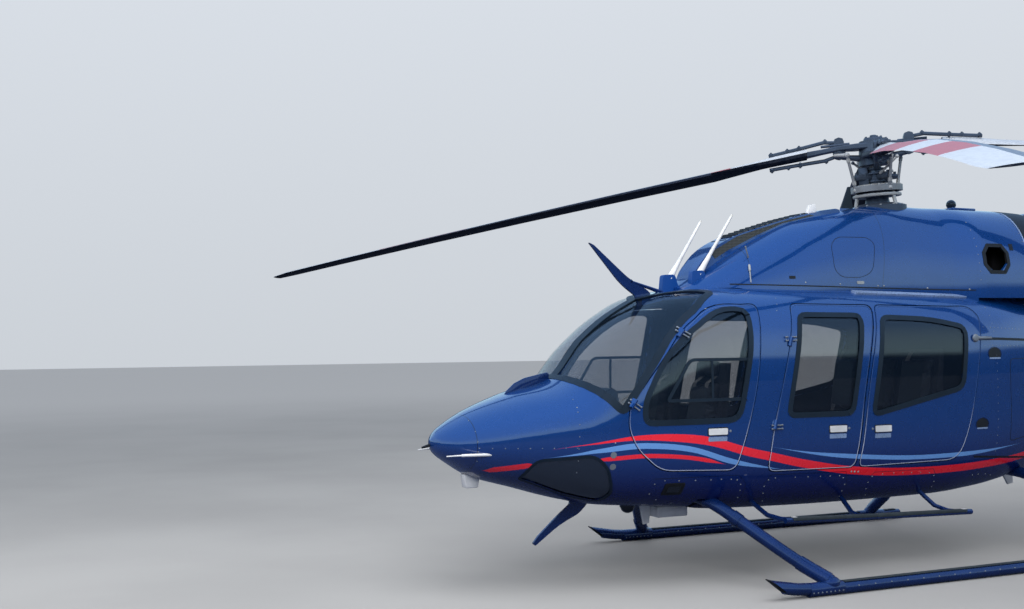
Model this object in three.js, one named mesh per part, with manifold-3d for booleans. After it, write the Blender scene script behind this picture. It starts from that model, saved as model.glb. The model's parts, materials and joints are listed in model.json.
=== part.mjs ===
import * as THREE from "three";
import { mergeVertices } from "three/addons/utils/BufferGeometryUtils.js";
import Module from "manifold-3d";

// Light twin-engine helicopter on skids, parked, doors shut.
// Millimetres. While it is drawn, X runs aft from the nose tip, Y to starboard, Z up from the ground.

const wasm = await Module();
wasm.setup();

// Driving dimensions
const rotorRadius = 5485;
const rotorHub = { x: 4040, z: 3376 };
const rotorTilt = THREE.MathUtils.degToRad(3.65);
const firstBladeAngle = THREE.MathUtils.degToRad(145.5);
const bladeChord = 270;
const bladeRootRadius = 560;
const bladeRootPitch = THREE.MathUtils.degToRad(16);
const bladeTwist = THREE.MathUtils.degToRad(-13);
const flexRadius = 300;
const yokeOffset = 42;
const collarRadius = 235;
const mastRadius = 52;
const shaftBore = (mastRadius + 0.3) / Math.cos(Math.PI / 16);
const tailRotorRadius = 825;
const tailRotorHub = { x: 10690, y: -310, z: 2125 };
const skidHalfTrack = 1315;
const skidRadius = 44;
const crossTubeRadius = 46;
const wallThickness = 40;
const cowlThickness = 22;
const glassInset = 7;
const glassThickness = 7;
const doorGap = 7;
const gap = 0.3;
const noseSplitX = 500;
const cabinAftX = 4600;
const boomStartX = 6600;
const finStartX = 10230;
const floorZ = 790;
const deckZ = 2100;

// Body sections: x, top, bottom, half width, height of the widest line, roundness above it, roundness below
const bodySections = [
  [0, 1078, 1032, 30, 1055, 2, 2],
  [40, 1132, 972, 140, 1050, 2, 2],
  [120, 1190, 912, 245, 1050, 2, 2],
  [300, 1285, 805, 385, 1060, 2.1, 2.1],
  [600, 1395, 715, 540, 1100, 2.2, 2.3],
  [950, 1500, 615, 650, 1140, 2.3, 2.6],
  [1200, 1785, 565, 705, 1180, 2.5, 2.8],
  [1500, 2005, 540, 750, 1220, 3, 3],
  [1800, 2135, 515, 778, 1250, 3.6, 3.1],
  [2200, 2180, 480, 790, 1250, 4, 3.2],
  [3200, 2180, 462, 790, 1250, 4, 3.2],
  [4200, 2170, 470, 785, 1250, 4, 3.2],
  [4700, 2165, 500, 740, 1270, 4, 3],
  [5200, 2160, 570, 650, 1320, 3.6, 2.8],
  [5700, 2158, 700, 535, 1400, 3.2, 2.6],
  [6100, 2155, 900, 440, 1520, 2.8, 2.4],
  [6600, 2150, 1235, 375, 1720, 2.4, 2.2],
];

// Cowl sections above the roof: x, top, half width at its foot, roundness
const cowlSections = [
  [2020, 2186, 250, 2.6],
  [2150, 2265, 330, 2.6],
  [2450, 2455, 400, 2.5],
  [2750, 2605, 430, 2.5],
  [3050, 2725, 450, 2.5],
  [3600, 2840, 465, 2.5],
  [4030, 2903, 480, 2.5],
  [4400, 2892, 520, 2.6],
  [4700, 2889, 610, 2.8],
  [5200, 2884, 640, 2.8],
  [5700, 2860, 600, 2.7],
  [6100, 2834, 510, 2.5],
  [6350, 2772, 440, 2.4],
  [6600, 2640, 385, 2.2],
];
const cowlFootZ = 2060;

// Tail boom sections: x, top, bottom, half width, height of the widest line, roundness above and below
const boomSections = [
  [6600, 2640, 1235, 385, 1900, 2.2, 2.2],
  [6900, 2500, 1375, 350, 1930, 2.2, 2.2],
  [7360, 2334, 1485, 310, 1920, 2.2, 2.2],
  [7830, 2252, 1552, 275, 1910, 2.2, 2.2],
  [9110, 2222, 1703, 215, 1960, 2.2, 2.2],
  [10230, 2260, 1795, 165, 2030, 2.2, 2.2],
  [10810, 2290, 1860, 110, 2080, 2.2, 2.2],
];

// Outlines in side view: x, z, corner radius
const crewDoorOutline = [
  [1236, 1312, 30],
  [1672, 1838, 120],
  [1918, 2024, 180],
  [2345, 2042, 60],
  [2262, 1400, 200],
  [2085, 822, 70],
  [1480, 842, 90],
  [1290, 1000, 120],
  [1218, 1160, 120],
];
const crewWindowOutline = [
  [1336, 1176, 110],
  [2114, 1182, 110],
  [2236, 1720, 250],
  [2248, 1994, 85],
  [1975, 1986, 220],
  [1720, 1822, 260],
  [1504, 1636, 260],
  [1337, 1336, 80],
];
const cabinDoorOutline = [
  [2640, 2044, 60],
  [2380, 1080, 200],
  [2352, 798, 70],
  [3170, 790, 60],
  [3270, 1500, 300],
  [3416, 2036, 60],
];
const cabinWindowOutline = [
  [2678, 1958, 80],
  [2514, 1198, 80],
  [3134, 1196, 80],
  [3284, 1952, 80],
];
// The cabin door's aft edge stands further off its frame, for its swing.
const cabinDoorPanel = cabinDoorOutline.map(([x, z, radius], i) => [i > 2 ? x - 7 : x, z, radius]);
const slidingDoorOutline = [
  [3434, 2036, 60],
  [3288, 1500, 300],
  [3188, 790, 60],
  [4190, 800, 120],
  [4330, 1171, 200],
  [4490, 1950, 90],
  [4410, 2026, 70],
];
const slidingWindowOutline = [
  [3450, 1938, 85],
  [3300, 1174, 90],
  [4236, 1366, 90],
  [4312, 1856, 95],
  [3960, 1920, 300],
];
const windshieldOutline = [
  [800, 1684, 0],
  [1190, 1284, 30],
  [1612, 1838, 150],
  [1875, 2034, 150],
  [2040, 2112, 70],
  [2050, 2160, 0],
  [2050, 2400, 0],
  [800, 2400, 0],
];
// From above, as x and y: the windshield reaches further aft at the side than in the middle.
const windshieldPlan = [
  [700, -20, 0],
  [700, -1000, 0],
  [2060, -1000, 0],
  [2056, -500, 50],
  [1930, -318, 150],
  [1790, -248, 150],
  [1690, -100, 60],
  [1670, -20, 0],
];
const chinWindowOutline = [
  [533, 820, 20],
  [600, 950, 60],
  [990, 976, 90],
  [1085, 900, 60],
  [1178, 690, 60],
  [1130, 632, 40],
  [930, 672, 200],
];
const postHalfWidth = 32;

const paint = { color: 0x10357f, roughness: 0.22, metalness: 0.35 };
const darkPaint = { color: 0x0c1a3a, roughness: 0.35, metalness: 0.2 };
const glassLook = { color: 0x10151a, roughness: 0.06, metalness: 0.0, transparent: true, opacity: 0.45 };
const blackPaint = { color: 0x15171b, roughness: 0.55, metalness: 0.1 };
const steelLook = { color: 0x8b9098, roughness: 0.35, metalness: 0.85 };
const trimLook = { color: 0x3a3d42, roughness: 0.85, metalness: 0.0 };
const bladeLook = { color: 0xe4e6ea, roughness: 0.4, metalness: 0.0 };

const helicopter = new THREE.Group();
const rotor = new THREE.Group();
rotor.position.set(rotorHub.x, 0, rotorHub.z);
rotor.rotation.y = -rotorTilt;
helicopter.add(rotor);
const tailRotor = new THREE.Group();
tailRotor.position.set(tailRotorHub.x, tailRotorHub.y, tailRotorHub.z);
helicopter.add(tailRotor);

// Turns a closed geometry into a solid with its faces pointing out.
function solid(geometry) {
  const bare = geometry.index ? geometry.toNonIndexed() : geometry.clone();
  bare.deleteAttribute("normal");
  bare.deleteAttribute("uv");
  const merged = mergeVertices(bare, 1e-3);
  const points = merged.attributes.position.array;
  const corners = [];
  let volume = 0;
  for (let i = 0; i < merged.index.count; i += 3) {
    const [a, b, c] = merged.index.array.slice(i, i + 3);
    if (a === b || b === c || c === a) continue;
    corners.push(a, b, c);
    const [p, q, r] = [a, b, c].map((k) => new THREE.Vector3().fromArray(points, 3 * k));
    volume += p.dot(q.cross(r));
  }
  if (volume < 0) corners.reverse();
  const triVerts = new Uint32Array(corners);
  return new wasm.Manifold(new wasm.Mesh({ numProp: 3, vertProperties: points, triVerts }));
}

function join(...solids) {
  return solids.reduce((whole, piece) => whole.add(piece));
}

function geometryOf(body) {
  const made = body.getMesh();
  const geometry = new THREE.BufferGeometry();
  geometry.setAttribute("position", new THREE.BufferAttribute(new Float32Array(made.vertProperties), 3));
  geometry.setIndex(new THREE.BufferAttribute(new Uint32Array(made.triVerts), 1));
  return geometry;
}

function addPiece(name, body, look, parent = helicopter) {
  const mesh = new THREE.Mesh(geometryOf(body), new THREE.MeshStandardMaterial(look));
  mesh.name = name;
  parent.add(mesh);
  return mesh;
}

// Adds a port piece and its mirror image to starboard.
function addPair(name, body, look) {
  addPiece(name + "_port", body, look);
  addPiece(name + "_starboard", body, look).scale.y = -1;
}

// Joins closed rings of points into one skin with flat ends, its facets alike on both sides of the machine.
function loft(rings) {
  const count = rings[0].length;
  const points = rings.flat();
  const faces = [];
  rings.slice(1).forEach((_, r) => {
    for (let i = 0; i < count; i++) {
      const j = (i + 1) % count;
      const [a, b, c, d] = [r * count + i, r * count + j, (r + 1) * count + i, (r + 1) * count + j];
      const starboard = points[a].y + points[b].y > 0;
      faces.push(...(starboard ? [a, b, c, b, d, c] : [a, b, d, a, d, c]));
    }
  });
  for (const first of [0, (rings.length - 1) * count]) {
    const middle = new THREE.Vector3();
    points.slice(first, first + count).forEach((p) => middle.addScaledVector(p, 1 / count));
    points.push(middle);
    for (let i = 0; i < count; i++) {
      const [a, b] = [first + i, first + ((i + 1) % count)];
      faces.push(points.length - 1, first ? a : b, first ? b : a);
    }
  }
  return solid(new THREE.BufferGeometry().setFromPoints(points).setIndex(faces));
}

// One body section: a rounded loop whose upper and lower halves have their own roundness.
function bodyRing([x, top, bottom, half, waist, upper, lower], inset, count = 28) {
  const ring = [];
  for (let i = 0; i < count; i++) {
    const angle = (2 * Math.PI * i) / count;
    const [c, s] = [Math.cos(angle), Math.sin(angle)];
    const power = 2 / (s >= 0 ? upper : lower);
    const height = s >= 0 ? top - inset - waist : waist - bottom - inset;
    const y = (half - inset) * Math.sign(c) * Math.abs(c) ** power;
    ring.push(new THREE.Vector3(x, y, waist + height * Math.sign(s) * Math.abs(s) ** power));
  }
  return ring;
}

const hullCache = new Map();
function hull(inset) {
  if (!hullCache.has(inset)) {
    const inner = inset > glassInset + glassThickness;
    const used = inner ? bodySections.slice(2) : bodySections;
    hullCache.set(inset, loft(used.map((s) => bodyRing(s, inset, inner ? 20 : 28))));
  }
  return hullCache.get(inset);
}

// One cowl section: a rounded arch that stands on a straight foot.
function cowlRing([x, top, half, round], inset, count = 16) {
  const ring = [];
  for (let i = 0; i <= count; i++) {
    const angle = (Math.PI * i) / count;
    const [c, s] = [Math.cos(angle), Math.sin(angle)];
    const y = (half - inset) * Math.sign(c) * Math.abs(c) ** (2 / round);
    ring.push(new THREE.Vector3(x, y, cowlFootZ + (top - inset - cowlFootZ) * Math.max(s, 0) ** (2 / round)));
  }
  ring.push(new THREE.Vector3(x, -(half - inset), cowlFootZ - 30), new THREE.Vector3(x, half - inset, cowlFootZ - 30));
  return ring;
}

function cowlHull(inset) {
  return loft(cowlSections.map((section) => cowlRing(section, inset)));
}

function box(x0, x1, y0, y1, z0, z1) {
  const geometry = new THREE.BoxGeometry(x1 - x0, y1 - y0, z1 - z0);
  return solid(geometry.translate((x0 + x1) / 2, (y0 + y1) / 2, (z0 + z1) / 2));
}

// Moves each edge of a closed outline inwards by a distance; the outline's own turn sets which way is in.
function shrink(outline, distance) {
  const area = outline.reduce((sum, [x, z], i) => {
    const [nx, nz] = outline[(i + 1) % outline.length];
    return sum + x * nz - nx * z;
  }, 0);
  const side = Math.sign(area) * distance;
  const edges = outline.map(([x, z], i) => {
    const [nx, nz] = outline[(i + 1) % outline.length];
    const length = Math.hypot(nx - x, nz - z);
    const [dx, dz] = [(nx - x) / length, (nz - z) / length];
    return { x: x - dz * side, z: z + dx * side, dx, dz };
  });
  return outline.map(([, , radius], i) => {
    const before = edges[(i + outline.length - 1) % outline.length];
    const after = edges[i];
    const cross = before.dx * after.dz - before.dz * after.dx;
    const along = ((after.x - before.x) * after.dz - (after.z - before.z) * after.dx) / cross;
    return [before.x + before.dx * along, before.z + before.dz * along, Math.max(radius - distance, 0)];
  });
}

// An outline whose corners are rounded by their radii.
function roundedShape(outline) {
  const shape = new THREE.Shape();
  const corners = outline.map(([x, z]) => new THREE.Vector2(x, z));
  corners.forEach((corner, i) => {
    const before = corners[(i + corners.length - 1) % corners.length];
    const after = corners[(i + 1) % corners.length];
    const reach = Math.min(outline[i][2], corner.distanceTo(before) / 2.05, corner.distanceTo(after) / 2.05);
    const start = corner.clone().add(before.clone().sub(corner).setLength(Math.max(reach, 1e-6)));
    const end = corner.clone().add(after.clone().sub(corner).setLength(Math.max(reach, 1e-6)));
    if (i === 0) shape.moveTo(start.x, start.y);
    else shape.lineTo(start.x, start.y);
    if (reach > 1) shape.quadraticCurveTo(corner.x, corner.y, end.x, end.y);
  });
  shape.closePath();
  return shape;
}

// A side-view outline carried across the body from y0 to y1.
function acrossPrism(outline, y0, y1, curveSegments = 4) {
  const options = { depth: y1 - y0, bevelEnabled: false, curveSegments };
  const geometry = new THREE.ExtrudeGeometry(roundedShape(outline), options);
  return solid(geometry.rotateX(Math.PI / 2).translate(0, y1, 0));
}

// A plan-view outline carried up through the windshield's height.
function windshieldPrism(plan) {
  const options = { depth: 1500, bevelEnabled: false, curveSegments: 4 };
  return solid(new THREE.ExtrudeGeometry(roundedShape(plan), options).translate(0, 0, 1000));
}

// The same, with its edges rounded off by a bevel.
function softPlate(outline, middleY, thickness, bevel) {
  const options = {
    depth: thickness - 2 * bevel,
    bevelEnabled: true,
    bevelThickness: bevel,
    bevelSize: bevel,
    bevelOffset: -bevel,
    bevelSegments: 2,
    curveSegments: 4,
  };
  const geometry = new THREE.ExtrudeGeometry(roundedShape(outline), options);
  return solid(geometry.rotateX(Math.PI / 2).translate(0, middleY + thickness / 2 - bevel, 0));
}

// A round bar along a smooth line through the points, with one of its flats down where it lies level.
function bar(points, radius, sides = 10, stepsPerSpan = 4) {
  const path = new THREE.CatmullRomCurve3(points.map((p) => new THREE.Vector3(...p)), false, "centripetal");
  const shape = new THREE.Shape();
  for (let i = 0; i <= sides; i++) {
    const angle = (2 * Math.PI * (i + 0.5)) / sides;
    const [x, y] = [radius * Math.cos(angle), radius * Math.sin(angle)];
    if (i === 0) shape.moveTo(x, y);
    else shape.lineTo(x, y);
  }
  const steps = (points.length - 1) * stepsPerSpan;
  return solid(new THREE.ExtrudeGeometry(shape, { steps, extrudePath: path, bevelEnabled: false }));
}

function cylinder(radiusTop, radiusBottom, height, sides, x, y, z, axis = "z") {
  const geometry = new THREE.CylinderGeometry(radiusTop, radiusBottom, height, sides);
  if (axis === "z") geometry.rotateX(Math.PI / 2);
  if (axis === "x") geometry.rotateZ(Math.PI / 2);
  return solid(geometry.translate(x, y, z));
}

// One wing section: leading edge at place.front, trailing edge at place.back, both as vectors.
function foilRing(front, back, thickness, up, count = 12) {
  const ring = [];
  const middle = front.clone().add(back).multiplyScalar(0.5);
  const half = front.clone().sub(back).multiplyScalar(0.5);
  for (let i = 0; i < count; i++) {
    const angle = (2 * Math.PI * i) / count;
    const [c, s] = [Math.cos(angle), Math.sin(angle)];
    const rise = (thickness / 2) * s * (0.72 + 0.28 * c);
    ring.push(middle.clone().addScaledVector(half, c).addScaledVector(up, rise));
  }
  return ring;
}

// Skin of the body between the outer surface and the wall's inner face.
const outerHull = hull(0);
const innerHull = hull(wallThickness);
const skin = outerHull.subtract(innerHull.intersect(box(-50, 6500, -2000, 2000, 0, 3000)));
const glassSkin = hull(glassInset).subtract(hull(glassInset + glassThickness));
const portSide = { from: -1000, to: -300 };

function cutWindow(outline, toY = portSide.to) {
  return acrossPrism(outline, portSide.from, toY);
}

function pane(outline, toY = portSide.to) {
  return glassSkin.intersect(acrossPrism(shrink(outline, gap), portSide.from, toY));
}

// Nose, cabin, floor and the body behind the cabin
const frontTube = {
  middle: [[1962, -420, 604], [1955, 0, 612], [1962, 420, 604]],
  side: (s) => [[2478, s * skidHalfTrack, 92], [2330, s * 1110, 218], [2120, s * 790, 440], [2010, s * 600, 560]],
};
const rearTube = {
  middle: [[5115, -380, 640], [5112, 0, 646], [5115, 380, 640]],
  side: (s) => [[5030, s * skidHalfTrack, 92], [5060, s * 1140, 250], [5105, s * 800, 500], [5122, s * 600, 606]],
};

function crossTubePoints({ middle, side }) {
  return [...side(-1), ...middle, ...side(1).reverse()];
}

// The open trough under the belly that a cross tube lies in.
function tubeTrough({ middle }, halfSpan) {
  const x = middle[1][0];
  return box(x - 85, x + 85, -halfSpan, halfSpan, 300, middle[1][2]);
}

const tubeRoom = join(
  bar(crossTubePoints(frontTube), crossTubeRadius + gap, 10, 2),
  bar(crossTubePoints(rearTube), crossTubeRadius + gap, 10, 2),
  tubeTrough(frontTube, 620),
  tubeTrough(rearTube, 600),
);

function buildBody() {
  const nose = outerHull.intersect(box(-50, noseSplitX - gap, -2000, 2000, 0, 3000));
  addPiece("nose_cone", nose, paint);

  const doorHoles = [crewDoorOutline, cabinDoorOutline, slidingDoorOutline].map((o) => cutWindow(o));
  const sideHoles = join(...doorHoles, cutWindow(chinWindowOutline, -180));
  const otherHoles = cutWindow(windshieldOutline, -postHalfWidth).intersect(windshieldPrism(windshieldPlan));
  const portHoles = sideHoles.add(otherHoles);
  const starboardHoles = solid(geometryOf(portHoles).scale(1, -1, 1));
  const cabinBox = box(noseSplitX, cabinAftX - gap, -2000, 2000, 0, 3000);
  const roomBox = box(noseSplitX + wallThickness, cabinAftX - wallThickness, -2000, 2000, 0, 3000);
  const room = innerHull.intersect(roomBox);
  const shell = outerHull.intersect(cabinBox).subtract(room).subtract(portHoles).subtract(starboardHoles);
  const hinges = [crewHinge, cabinHinge];
  const cleared = join(...hinges.map((hinge) => knuckleRoom(hinge, -1)));
  const fitted = join(latchPins(), ...hinges.map(frameKnuckles));
  const bothSides = (half) => half.add(solid(geometryOf(half).scale(1, -1, 1)));
  addPiece("cabin_shell", shell.subtract(tubeRoom).subtract(bothSides(cleared)).add(bothSides(fitted)), paint);

  const floorBox = box(1300, cabinAftX - wallThickness - gap, -2000, 2000, 0, floorZ);
  const floor = hull(wallThickness + gap).intersect(floorBox).subtract(tubeRoom);
  addPiece("cabin_floor", floor, trimLook);

  // The body behind the cabin is flat under the cowls and rounds up beside them
  const aftBox = box(cabinAftX, boomStartX - gap, -2000, 2000, 0, 3000);
  const cowlRoom = cowlHull(-gap).intersect(box(cabinAftX - 1, boomStartX + 1, -2000, 2000, deckZ, 3200));
  addPiece("aft_fuselage", outerHull.intersect(aftBox).subtract(cowlRoom).subtract(tubeRoom), paint);

  const windshield = pane(windshieldOutline, -postHalfWidth - gap);
  addPair("windshield", windshield.intersect(windshieldPrism(shrink(windshieldPlan, gap))), glassLook);
  addPair("chin_window", pane(chinWindowOutline, -180), glassLook);
}

// Hinge axes on the port side: two points on each door's front edge, a little outside the skin
const crewHinge = { low: [1243, -723, 1316], high: [1672, -700, 1835], knuckles: [0.03, 0.97] };
const cabinHinge = { low: [2397, -793, 1131], high: [2570, -773, 1776], knuckles: [0.03, 0.97] };
const knuckleRadius = 17;
const knuckleRootRadius = 14;
const knuckleRootStep = 12;
const knuckleLength = 34;
const knuckleClearance = 5;

// A round piece on a hinge's axis, from one distance to another around one of its knuckles.
function onHinge({ low, high }, share, from, to, radius) {
  const [start, end] = [new THREE.Vector3(...low), new THREE.Vector3(...high)];
  const along = end.clone().sub(start).normalize();
  const middle = start.clone().lerp(end, share).addScaledVector(along, (from + to) / 2);
  const geometry = new THREE.CylinderGeometry(radius, radius, to - from, 8);
  const turn = new THREE.Quaternion().setFromUnitVectors(new THREE.Vector3(0, 1, 0), along);
  return solid(geometry.applyQuaternion(turn).translate(middle.x, middle.y, middle.z));
}

// Each knuckle is the frame's above and the door's below, on one axis, and its root reaches into its own skin.
function knuckles(hinge, from, to, side, grow = 0) {
  const [low, high] = [new THREE.Vector3(...hinge.low), new THREE.Vector3(...hinge.high)];
  const step = new THREE.Vector3(side * knuckleRootStep, knuckleRootStep, 0);
  step.projectOnPlane(high.clone().sub(low).normalize());
  const root = { low: low.add(step).toArray(), high: high.add(step).toArray() };
  const parts = hinge.knuckles.flatMap((share) => [
    onHinge(hinge, share, from, to, knuckleRadius + grow),
    onHinge(root, share, from, to, knuckleRootRadius + grow),
  ]);
  return join(...parts);
}

function frameKnuckles(hinge) {
  return knuckles(hinge, gap / 2, knuckleLength, -1);
}

function doorKnuckles(hinge) {
  return knuckles(hinge, -knuckleLength, -gap / 2, 1);
}

// Room in a door or frame for the other one's knuckles.
function knuckleRoom(hinge, side) {
  const reach = knuckleLength + knuckleClearance;
  const [from, to] = side > 0 ? [-gap / 2, reach] : [-reach, gap / 2];
  return knuckles(hinge, from, to, -side, knuckleClearance);
}

// Pins in the frame that the sliding door is latched to, across its shut line.
function latchPins() {
  const shutLine = cutWindow(shrink(slidingDoorOutline, -5)).subtract(
    acrossPrism(shrink(slidingDoorOutline, doorGap - gap), portSide.from, portSide.to),
  );
  const pins = [[3230, 1150], [3330, 1750], [4320, 1150], [4440, 1750]];
  const bars = pins.map(([x, z]) => cylinder(7, 7, 120, 8, x, -745, z, "x"));
  return join(...bars).intersect(shutLine).intersect(skin);
}

const doors = [
  { name: "crew_door", outline: crewDoorOutline, window: crewWindowOutline, hinge: crewHinge },
  { name: "cabin_door", outline: cabinDoorPanel, window: cabinWindowOutline, hinge: cabinHinge },
  { name: "sliding_door", outline: slidingDoorOutline, window: slidingWindowOutline },
];

// Doors, each cut from the body's skin
function buildDoors() {
  for (const { name, outline, window, hinge } of doors) {
    const edge = acrossPrism(shrink(outline, doorGap), portSide.from, portSide.to);
    const panel = skin.intersect(edge).subtract(cutWindow(window));
    const hung = hinge ? panel.subtract(knuckleRoom(hinge, 1)).add(doorKnuckles(hinge)) : panel;
    addPair(name, hung, paint);
    addPair(name + "_window", pane(window), glassLook);
  }
}

// Cowls over the roof, with the engine under them
function buildCowls() {
  const aboveRoof = hull(-gap);
  const outer = cowlHull(0).subtract(aboveRoof);
  const forward = outer.intersect(box(2000, cabinAftX - gap, -2000, 2000, 2000, 3200));
  const hole = geometryOf(cylinder(collarRadius + gap, collarRadius + gap, 400, 24, 0, 0, -600));
  const mastHole = solid(hole.rotateY(-rotorTilt).translate(rotorHub.x, 0, rotorHub.z));
  addPiece("forward_cowl", forward.subtract(mastHole).add(roofFittings().subtract(aboveRoof)), paint);
  buildAntennas();

  const engineRoom = cowlHull(cowlThickness).intersect(box(cabinAftX + 60, 6500, -2000, 2000, 2000, 3200));
  const aftCowl = cowlHull(0).intersect(box(cabinAftX, boomStartX - gap, -2000, 2000, deckZ + gap, 3200));
  const hollowCowl = aftCowl.subtract(engineRoom);
  const sideInlet = octagonBore(4790, 2432, 118);
  const inletEnd = 5135;
  const screenEnd = 5420;
  const inletCowl = hollowCowl.intersect(box(4500, inletEnd - gap, -2000, 2000, 2000, 3200));
  addPiece("inlet_cowl", inletCowl.subtract(sideInlet), paint);
  const screen = hollowCowl.intersect(box(inletEnd, screenEnd - gap, -2000, 2000, 2000, 3200));
  addPiece("intake_screen", screen, blackPaint);
  const exhaustCowl = hollowCowl.intersect(box(screenEnd, 6700, -2000, 2000, 2000, 3200));
  const bores = exhaustOval(0).add(solid(geometryOf(exhaustOval(0)).scale(1, -1, 1)));
  addPiece("exhaust_cowl", exhaustCowl.subtract(bores), paint);
  addPair("exhaust", exhaustOval(gap).subtract(exhaustOval(12)), steelLook);

  addPiece("engine_block", box(4950, 5900, -400, 400, deckZ + gap, 2640), steelLook);
}

function octagonBore(x, z, radius) {
  const bore = new THREE.CylinderGeometry(radius, radius, 2000, 8);
  return solid(bore.rotateY(Math.PI / 8).translate(x, 0, z));
}

// The oval exhaust outlet on the port side of the cowl, pointing out and a little aft.
function exhaustOval(inset) {
  const oval = new THREE.CylinderGeometry(1, 1, 300 + 20 * (inset > 1), 20);
  oval.scale(215 - inset, 1, 140 - inset).rotateZ(0.42);
  return solid(oval.translate(6290, -420, 2500));
}

// The intake ridge up the middle of the forward cowl and the plate ahead of the mast
function roofFittings() {
  const ridge = [
    [2110, 2180, 0],
    [2160, 2320, 40],
    [2280, 2460, 60],
    [2400, 2540, 60],
    [2550, 2606, 60],
    [2730, 2662, 60],
    [2990, 2738, 60],
    [3260, 2802, 60],
    [3560, 2852, 40],
    [3600, 2760, 0],
    [2500, 2350, 0],
  ];
  const mastPlate = [
    [3660, 2830, 0],
    [3755, 3055, 5],
    [3770, 3055, 5],
    [3800, 2850, 0],
  ];
  return join(acrossPrism(mastPlate, -9, 9), acrossPrism(ridge, -125, 125, 2));
}

// Two rod antennas on block feet, one on the roof's middle and one beside the intake ridge
function buildAntennas() {
  const antennas = [
    { name: "roof_antenna_fore", x: 1914, y: 0, z: 2190, tip: [2297, 0, 2720] },
    { name: "roof_antenna_aft", x: 2079, y: -160, z: 2215, tip: [2483, -160, 2758] },
  ];
  for (const { name, x, y, z, tip } of antennas) {
    const foot = [
      [x, z - 40, 0],
      [x + 15, z + 95, 20],
      [x + 120, z + 100, 20],
      [x + 165, z - 40, 0],
    ];
    const rod = bar([[x + 95, y, z + 80], tip], 9, 6, 1);
    const whole = acrossPrism(foot, y - 27, y + 27, 2).add(rod);
    addPiece(name, whole.subtract(hull(-gap)).subtract(cowlHull(-gap)), paint);
  }
}

// Tail boom, and the vertical fin that closes its end
function buildTail() {
  const boom = loft(boomSections.map((s) => bodyRing(s, 0, 24)));
  addPiece("tail_boom", boom.intersect(box(boomStartX, finStartX - gap, -2000, 2000, 0, 3200)), paint);

  const boomEnd = boom.intersect(box(finStartX, 11000, -2000, 2000, 0, 3200));
  addPiece("vertical_fin", join(boomEnd, finPanel()), paint);
}

// Fin levels from the foot to the tip: z, leading edge x, trailing edge x, thickness
const finLevels = [
  [1108, 10578, 10962, 60],
  [1360, 10500, 10905, 80],
  [1535, 10450, 10757, 100],
  [1810, 10330, 10690, 120],
  [2150, 10240, 10760, 130],
  [2372, 10290, 10775, 130],
  [2560, 10375, 10790, 125],
  [2866, 10522, 10902, 115],
  [2985, 10580, 11090, 110],
  [3712, 10936, 11322, 80],
  [3765, 10962, 11322, 60],
];

function finPanel(grow = 0) {
  const up = new THREE.Vector3(0, 1, 0);
  return loft(
    finLevels.map(([z, lead, trail, thickness]) =>
      foilRing(new THREE.Vector3(lead, 0, z), new THREE.Vector3(trail, 0, z), thickness + 4 * grow, up),
    ),
  );
}

// Stabiliser half with its endplate, port side
function buildStabiliser() {
  const up = new THREE.Vector3(0, 0, 1);
  const spanY = 1540;
  const wing = loft(
    [-120, -spanY].map((y) => foilRing(new THREE.Vector3(9100, y, 2062), new THREE.Vector3(9610, y, 2020), 70, up)),
  );
  const endplate = [
    [9341, 2328, 30],
    [9117, 1972, 60],
    [9489, 1353, 30],
    [9854, 1353, 30],
    [9636, 1930, 60],
    [9754, 2333, 30],
  ];
  const boomRoom = loft(boomSections.map((s) => bodyRing(s, -gap, 24)));
  const half = wing.subtract(boomRoom).add(softPlate(endplate, -spanY, 34, 8));
  addPair("stabiliser", half, paint);
}

// Main rotor: its own frame has Z along the mast and its origin at the hub
function buildMainRotor() {
  const drum = cylinder(120, 135, 210, 16, 0, 0, -20);
  const arms = bladeSags.map((sag, k) => {
    const arm = geometryOf(hubArm(sag)).translate(0, 0, bladePlane(k));
    return solid(arm.rotateZ((k * Math.PI) / 2));
  });
  const hub = addPiece("rotor_hub", join(drum, ...arms), blackPaint, rotor);
  hub.rotation.z = firstBladeAngle;

  const shaft = cylinder(mastRadius, mastRadius, 470, 16, 0, 0, -125 - gap - 235);
  const ring = cylinder(215, 215, 50, 20, 0, 0, -330).subtract(cylinder(180, 180, 60, 20, 0, 0, -330));
  const driver = join(box(-200, 200, -22, 22, -345, -315), cylinder(70, 70, 60, 16, 0, 0, -330));
  const links = [0, 1, 2, 3].map((k) => {
    const angle = (k * Math.PI) / 2 + 0.45;
    const [x, y] = [Math.cos(angle), Math.sin(angle)];
    return bar([[198 * x, 198 * y, -335], [262 * x, 262 * y, -30]], 13, 8, 1);
  });
  const mast = addPiece("rotor_mast", join(shaft, ring, driver, ...links), steelLook, rotor);
  mast.rotation.z = firstBladeAngle;

  bladeSags.forEach((sag, k) => {
    const blade = addPiece("rotor_blade_" + (k + 1), rotorBlade(sag), bladeLook, rotor);
    blade.rotation.z = firstBladeAngle + (k * Math.PI) / 2;
    blade.position.z = bladePlane(k);
  });

  const collar = join(
    cylinder(collarRadius, collarRadius, 140, 24, 0, 0, -550),
    cylinder(165, collarRadius, 24, 24, 0, 0, -468),
  ).subtract(cylinder(110, 110, 300, 24, 0, 0, -520));
  const guide = cylinder(85, 125, 170, 16, 0, 0, -460).subtract(cylinder(shaftBore, shaftBore, 400, 16, 0, 0, -460));
  const fixedRing = cylinder(190, 190, 26, 20, 0, 0, -384).subtract(cylinder(shaftBore, shaftBore, 60, 16, 0, 0, -384));
  addPiece("swashplate_base", join(collar, guide, fixedRing), steelLook, rotor);
}

// How each parked blade hangs: slope at its flexing root, and bend in mm over the square of its length in metres
const bladeSags = [
  { slope: 0.123, bend: 3.4 },
  { slope: 0.065, bend: 11.8 },
  { slope: 0.09, bend: 8 },
  { slope: 0.105, bend: 6 },
];

function bladePlane(k) {
  return k % 2 ? -yokeOffset : yokeOffset;
}

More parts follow.
